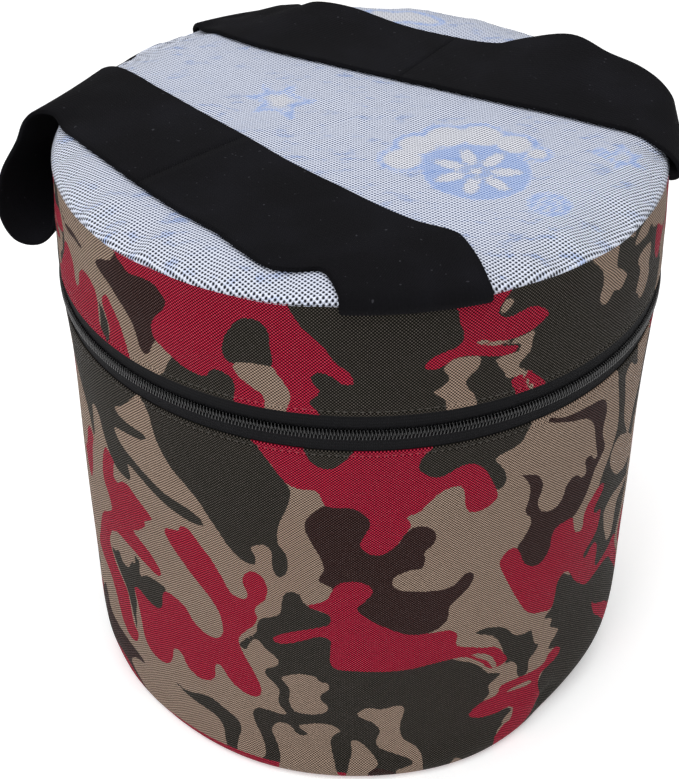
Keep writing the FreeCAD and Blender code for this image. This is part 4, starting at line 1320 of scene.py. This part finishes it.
def lid_taper(angle, z):
    """Taper of the lid's inner layers towards the rim."""
    return -(bag_radius - rim_radius) * np.clip(
        (z - tape_high) / (rim_height - tape_high), 0, 1)


lid_band_padding = ring(
    "lid_band_padding",
    round_section(foam_out - wall_foam, foam_out - 0.3, lid_band_low, lid_foam_wall_high,
                  foam_edge), foam_columns, FOAM, push=lid_taper)
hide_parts("lid_band_foam")
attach(lid_band_padding, "lid")

lid_lining_bottom = span("lid_band_lining", Z)[0]
hem_low = lid_lining_bottom + lining_end
lid_lining_path = [(foam_out - 0.1, hem_low), (foam_out - 2, hem_low), (lining_r + 1, hem_low),
                   (lining_r + 0.2, hem_low + 0.3)]
lid_lining_path += [(lining_r, z) for z in np.linspace(hem_low + 0.9, lid_wall_lining_top, 22)]
lid_band_lining_cloth = revolve(
    "lid_band_lining_cloth", lid_lining_path, lining_columns, LINING, lining_thick,
    push=lid_taper, side=1)
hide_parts("lid_band_lining")
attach(lid_band_lining_cloth, "lid")


def puckers(angle, edge):
    """Gathers of the mesh towards its seam; edge is the distance in from it."""
    a = np.radians(angle)
    gather = np.sin(41 * a + 1.3 * np.sin(3 * a)) * (0.6 + 0.4 * np.sin(5 * a + 1.0))
    front = 0.15 + 0.85 * np.exp(-(turn_to(angle + 110) / 62) ** 4)
    return 0.85 * front * gather * np.exp(-edge / 10) * smooth(edge / 3)


def mesh_height(x, y, out, angle):
    """Height of the mesh top: crowned, and dipped where it meets the seam."""
    edge = rim_radius * (1 - out)
    crown = 0.4 + 4.2 * (1 - np.exp(-edge / 5.5)) + 2.6 * (1 - out ** 2)
    crown = crown + puckers(angle, edge) - 1.3 * np.exp(-edge / 0.9)
    crown = crown + hill(angle, edge, -118, 16, 9, 12, 1.2) + hill(angle, edge, -143, 14, 7, 10, 1.0)
    return rim_height + seam_line(angle) * (0.3 + 0.7 * out ** 8) + crown - 0.9


STAR = [(-46, 32), (-38.6, 24), (-30.5, 32), (-30.2, 20.8), (-19.7, 14), (-29.8, 9), (-30, -4.5),
        (-38.5, 4.5), (-48.5, 3), (-44.5, 12.5), (-53.5, 20), (-44.8, 22.4)]
BLOOM = [(99.8, -31), (104, -26), (109, -30), (114, -22.5), (117, -29), (122, -30), (118, -35.5),
         (121, -41.5), (113, -39.5), (109, -44.5), (106, -37)]
CLOUD = [(18, -40, 11), (25, -27, 11), (38, -19, 11.5), (53, -18, 12), (67, -25, 10.5),
         (76, -33, 7)]
FLOWER = (49, -49, 23)
BUD = (77, -74, 9)
CLOUD_FAR = [(2, 121), (8, 127), (17, 122), (26, 123), (34, 118), (40, 113), (43, 105), (34, 101),
             (24, 104), (13, 103), (5, 111)]
LEAF = [(-96, -28), (-88, -30), (-80, -41), (-84, -46), (-93, -42)]


def circles(x, y, places):
    """Distance to a cluster of overlapping circles, each (x, y, radius)."""
    return np.minimum.reduce([np.hypot(x - cx, y - cy) - r for cx, cy, r in places])


def petals(x, y, cx, cy, count, reach, long_half, short_half):
    """Distance to a ring of oval petals round a centre."""
    part = 2 * np.pi / count
    turn = (np.arctan2(y - cy, x - cx) + part / 2) % part - part / 2
    dist = np.hypot(x - cx, y - cy)
    along, side = dist * np.cos(turn) - reach, dist * np.sin(turn)
    return (np.hypot(along / long_half, side / short_half) - 1) * short_half


def figures(x, y):
    """Distances to the pale blue figures and to their white insides, and in from the rim."""
    shapes = {key: outline_distance(x, y, curve_through(points, 5, closed=True))
              for key, points in (("star", STAR), ("bloom", BLOOM), ("far", CLOUD_FAR),
                                  ("leaf", LEAF))}
    shapes["cloud"] = circles(x, y, CLOUD)
    shapes["bud"] = circles(x, y, [BUD])
    line = {key: np.abs(d + 1.3) - 1.3 for key, d in shapes.items()}
    flower = circles(x, y, [FLOWER])
    flower_petals = petals(x, y, FLOWER[0], FLOWER[1], 7, 12.5, 7.2, 3.3)
    flower_heart = circles(x, y, [(FLOWER[0], FLOWER[1], 2.8)])
    bud_petals = petals(x, y, BUD[0], BUD[1], 5, 3.6, 3.4, 1.2)
    blue = np.minimum.reduce([line["star"], line["cloud"], flower, line["bud"], bud_petals,
                              line["far"], np.maximum(line["bloom"], -3), line["leaf"]])
    white = np.minimum.reduce([np.maximum(shapes["cloud"] + 3.2, -flower), flower_petals,
                               flower_heart, shapes["star"] + 4.4, shapes["far"] + 4.0])
    return {"figure": blue, "white": white, "rim": rim_radius - np.hypot(x, y)}


GRID = 109
lid_top_mesh = disc("lid_top_mesh", GRID, lambda a: rim_radius + 0.25 + 0 * a, mesh_height, MESH,
                    0.0, values=figures)
ux, uy = disc_grid(GRID)
edge_mm = (rim_radius * (1 - np.clip(np.hypot(ux, uy), 0, 1))).ravel()
settle(lid_top_mesh, np.where(edge_mm < 0.5, 1.0, 0.0), 18, 3.0, -0.012, 1.6)
thicken(lid_top_mesh, 1.2, -1)
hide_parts("lid_top_panel")
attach(lid_top_mesh, "lid")
top_points = np.empty(GRID * GRID * 3, np.float32)
lid_top_mesh.data.vertices.foreach_get("co", top_points)
top_tree = BVHTree.FromPolygons([tuple(p) for p in top_points.reshape(-1, 3) / MM],
                                [tuple(f) for f in grid_faces(GRID, GRID)[0].tolist()])


def lid_at(x, y):
    """Height of the mesh top above a place, or None outside the rim."""
    hit = top_tree.ray_cast(Vector((x, y, 400.0)), Vector((0, 0, -1)))
    return None if hit[0] is None else hit[0].z


top_foam_thick = 7.0
top_foam_crown = lid_foam_high - lid_foam_low - top_foam_thick - 1.0
lid_top_padding = disc(
    "lid_top_padding", 48, lambda a: lid_foam_radius - 0.4 + 0 * a,
    lambda x, y, out, a: lid_foam_low + top_foam_crown * (1 - out ** 2) + 0.1, FOAM,
    top_foam_thick, 1)
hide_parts("lid_top_foam")
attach(lid_top_padding, "lid")

lid_top_lining_cloth = disc(
    "lid_top_lining_cloth", 64, lambda a: lining_r - 3.2 + 0 * a,
    lambda x, y, out, a: lid_lining_low + 0.1 - 0.6 * (0.5 + 0.5 * np.sin(x / 24) * np.sin(
        y / 29 + 1)) * smooth((1 - out) * 6), LINING, 0.5, 1)
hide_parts("lid_top_lining")
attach(lid_top_lining_cloth, "lid")

lid_binding = ring(
    "lid_binding", round_section(lid_binding_out - binding_thick, lid_binding_out,
                                 lid_binding_low, lid_binding_top - 0.2, binding_edge),
    lining_columns, BINDING)
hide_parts("lid_rim_binding")
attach(lid_binding, "lid")

# ---- handles: two long black straps sewn into the lid's seam at both ends ----
# Each station is the two edges of the strap, as x, y and height above the lid's seam in mm. Where
# the height is None the edge rests on the mesh.
REST = None
FRONT_STRAP = [
    ((-7.4, -137.4, -2.5), (50, -128.2, -2.5)),
    ((-7.6, -139.5, -0.8), (50.6, -130.2, -0.8)),
    ((-8.2, -136.0, 2.6), (49.4, -127.0, 2.6)),
    ((-14, -125.5, REST), (42, -106, REST)),
    ((-24, -124, REST), (36, -98, REST)),
    ((-35, -121.5, REST), (22, -91.5, REST)),
    ((-46, -113, REST), (6, -79, REST)),
    ((-57, -100, REST), (-12, -62, REST)),
    ((-73, -84, REST), (-30, -45, REST)),
    ((-92, -63, REST), (-49, -24, REST)),
    ((-113, -37, REST), (-72, 1, REST)),
    ((-131.5, -11, 3.6), (-93, 25, REST)),
    ((-139, 2, 5.0), (-106, 41, REST)),
    ((-147, 4, 5.0), (-117, 53, 4.5)),
    ((-152.5, 2, 1.0), (-124, 54, 2.5)),
    ((-156, -2, -7), (-129, 52, -4)),
    ((-163, -7, -18), (-134, 47, -16)),
    ((-166, -11, -29), (-138, 42, -26)),
    ((-165, -14, -40), (-138, 38, -35)),
    ((-160, -15, -49), (-133, 38, -41.5)),
    ((-152, -13, -52), (-127, 42, -42)),
    ((-145.5, -9, -47), (-121, 49, -38)),
    ((-142.5, 2, -34), (-115, 60, -27)),
    ((-141, 14, -20), (-111, 72, -14)),
    ((-139.5, 24, -9), (-111, 81, -7)),
    ((-137, 30, -2.5), (-109.5, 85.5, -1.8)),
    ((-133.6, 32.5, -1.6), (-107.2, 86.3, -1.2)),
]
FRONT_MIDDLE = 9
BACK_STRAP = [
    ((-84.6, 108.2, -3.0), (-33, 133.4, -3.0)),
    ((-86, 110, -0.6), (-33.5, 135.4, -0.8)),
    ((-84, 106.6, 2.8), (-32.6, 131.4, 1.6)),
    ((-80, 100, REST), (-30, 124, 4.5)),
    ((-66, 84, REST), (-22, 120, 9.5)),
    ((-45, 68, REST), (-4, 112, 10)),
    ((-10, 48, REST), (22, 95, 7.5)),
    ((18, 34, REST), (48, 82, REST)),
    ((40, 23, REST), (66, 76, 6.5)),
    ((62, 12, REST), (80, 77, 9)),
    ((88, 1, REST), (102, 71.5, 14)),
    ((107, -8, REST), (118, 60, 10)),
    ((119, -13, REST), (131, 51, 7.8)),
    ((127, -19, REST), (139, 40, 6.2)),
    ((132.5, -27, 3.4), (143, 30, 3.8)),
    ((136, -33, 1.2), (143.8, 24, 0.2)),
    ((136.4, -36.5, -1.2), (141.2, 20, -2.8)),
    ((133.2, -36.6, -2.4), (136.8, 19.4, -2.8)),
]
BACK_MIDDLE = 7
strap_thick = 2.2
strap_wide = 60.0
strap_edge = 1.3
strap_ripple = 0.8
seam_reach = 16.0
mesh_gap = 0.45


def strap_half(name, stations, first, last):
    """One half of a strap, from one station to another, as a sheet of webbing."""
    edges = np.array([[[x, y, (z if z is not None else
                               (lid_at(x, y) or rim_height) - rim_height + 0.5)]
                       for x, y, z in pair] for pair in stations], float)
    edges[:, :, 2] += rim_height
    steps = 7
    near = curve_through(edges[:, 0], steps)
    far_edge = curve_through(edges[:, 1], steps)
    near = near[first * steps:last * steps + 1]
    far_edge = far_edge[first * steps:last * steps + 1]
    across = np.concatenate([[0, 0.004, 0.011, 0.022], np.linspace(0.05, 0.95, 17),
                             [0.978, 0.989, 0.996, 1]])
    middle = near[:, None] * (1 - across[None, :, None]) + far_edge[:, None] * across[None, :, None]
    rows = np.arange(len(near)) + first * steps
    last_row = (len(stations) - 1) * steps
    for edge_row in (0, last_row):
        if edge_row not in rows:
            continue
        at_end = int(np.flatnonzero(rows == edge_row)[0])
        centre = (near + far_edge) / 2
        gone = np.linalg.norm(centre - centre[at_end], axis=1)
        near_polar = np.hypot(*near[:, :2].T), np.arctan2(near[:, 1], near[:, 0])
        far_polar = np.hypot(*far_edge[:, :2].T), np.arctan2(far_edge[:, 1], far_edge[:, 0])
        turn = (far_polar[1] - near_polar[1] + math.pi) % (2 * math.pi) - math.pi
        r = near_polar[0][:, None] + (far_polar[0] - near_polar[0])[:, None] * across
        a = near_polar[1][:, None] + turn[:, None] * across
        arc_way = np.stack([r * np.cos(a), r * np.sin(a), middle[:, :, 2]], -1)
        share = smooth(1 - gone / seam_reach)[:, None, None]
        middle = middle * (1 - share) + arc_way * share
    soft = strap_ripple * np.sin(math.pi * across)[None] * np.sin(rows / 9.0)[:, None]
    middle[:, :, 2] += soft * 0.5
    for row in middle:
        for point in row:
            floor_height = lid_at(point[0], point[1])
            if floor_height is not None and point[2] > rim_height - 4:
                point[2] = max(point[2], floor_height + mesh_gap)
    smoothed = middle.copy()
    smoothed[1:-1] = (middle[:-2] + 2 * middle[1:-1] + middle[2:]) / 4
    centre_line = len(across) // 2
    long = np.linalg.norm(np.diff(smoothed[:, centre_line], axis=0), axis=1).sum()
    ahead_way, side_way = np.gradient(smoothed, axis=0), np.gradient(smoothed, axis=1)
    up = np.cross(side_way, ahead_way)
    up /= np.linalg.norm(up, axis=2, keepdims=True)
    if up[-1 if first == 0 else 0, centre_line, 2] < 0:
        up = -up
    from_edge = strap_wide * np.minimum(across, 1 - across)
    bend = (1 - from_edge / strap_edge).clip(0)
    round_over = strap_thick / 2 * (1 - np.sqrt(np.clip(1 - bend ** 2, 0, 1)))
    low_side = smoothed + up * round_over[None, :, None]
    high_side = smoothed + up * (strap_thick - round_over)[None, :, None]
    section = np.concatenate([low_side, high_side[:, ::-1]], axis=1)
    piece = grid_piece(name, section, HANDLE, (2 * strap_wide + 2, long), close_columns=True)
    rows, columns = section.shape[:2]
    close_ends(piece, [range(columns), range((rows - 1) * columns, rows * columns)])
    return piece, float(long)


def handle(side, stations, middle):
    """One handle in two halves, split at a middle station and built in their resting shape."""
    near, near_long = strap_half(f"handle_{side}_near", stations, 0, middle)
    rest, far_long = strap_half(f"handle_{side}_far", stations, middle, len(stations) - 1)
    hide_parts(f"handle_{side}_tab", f"handle_{side}_grip")
    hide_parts(f"handle_{side}_loop")
    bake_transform(near)
    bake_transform(rest)


handle("front", FRONT_STRAP, FRONT_MIDDLE)
handle("back", BACK_STRAP, BACK_MIDDLE)

# ---- slider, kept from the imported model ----
for node in ("slider_body", "pull_tab"):
    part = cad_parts[node]
    part.data.materials.clear()
    part.data.materials.append(ENAMEL)
    edge = part.modifiers.new("edges", "BEVEL")
    edge.width = 0.25 * MM
    edge.segments = 2
    edge.limit_method = "ANGLE"
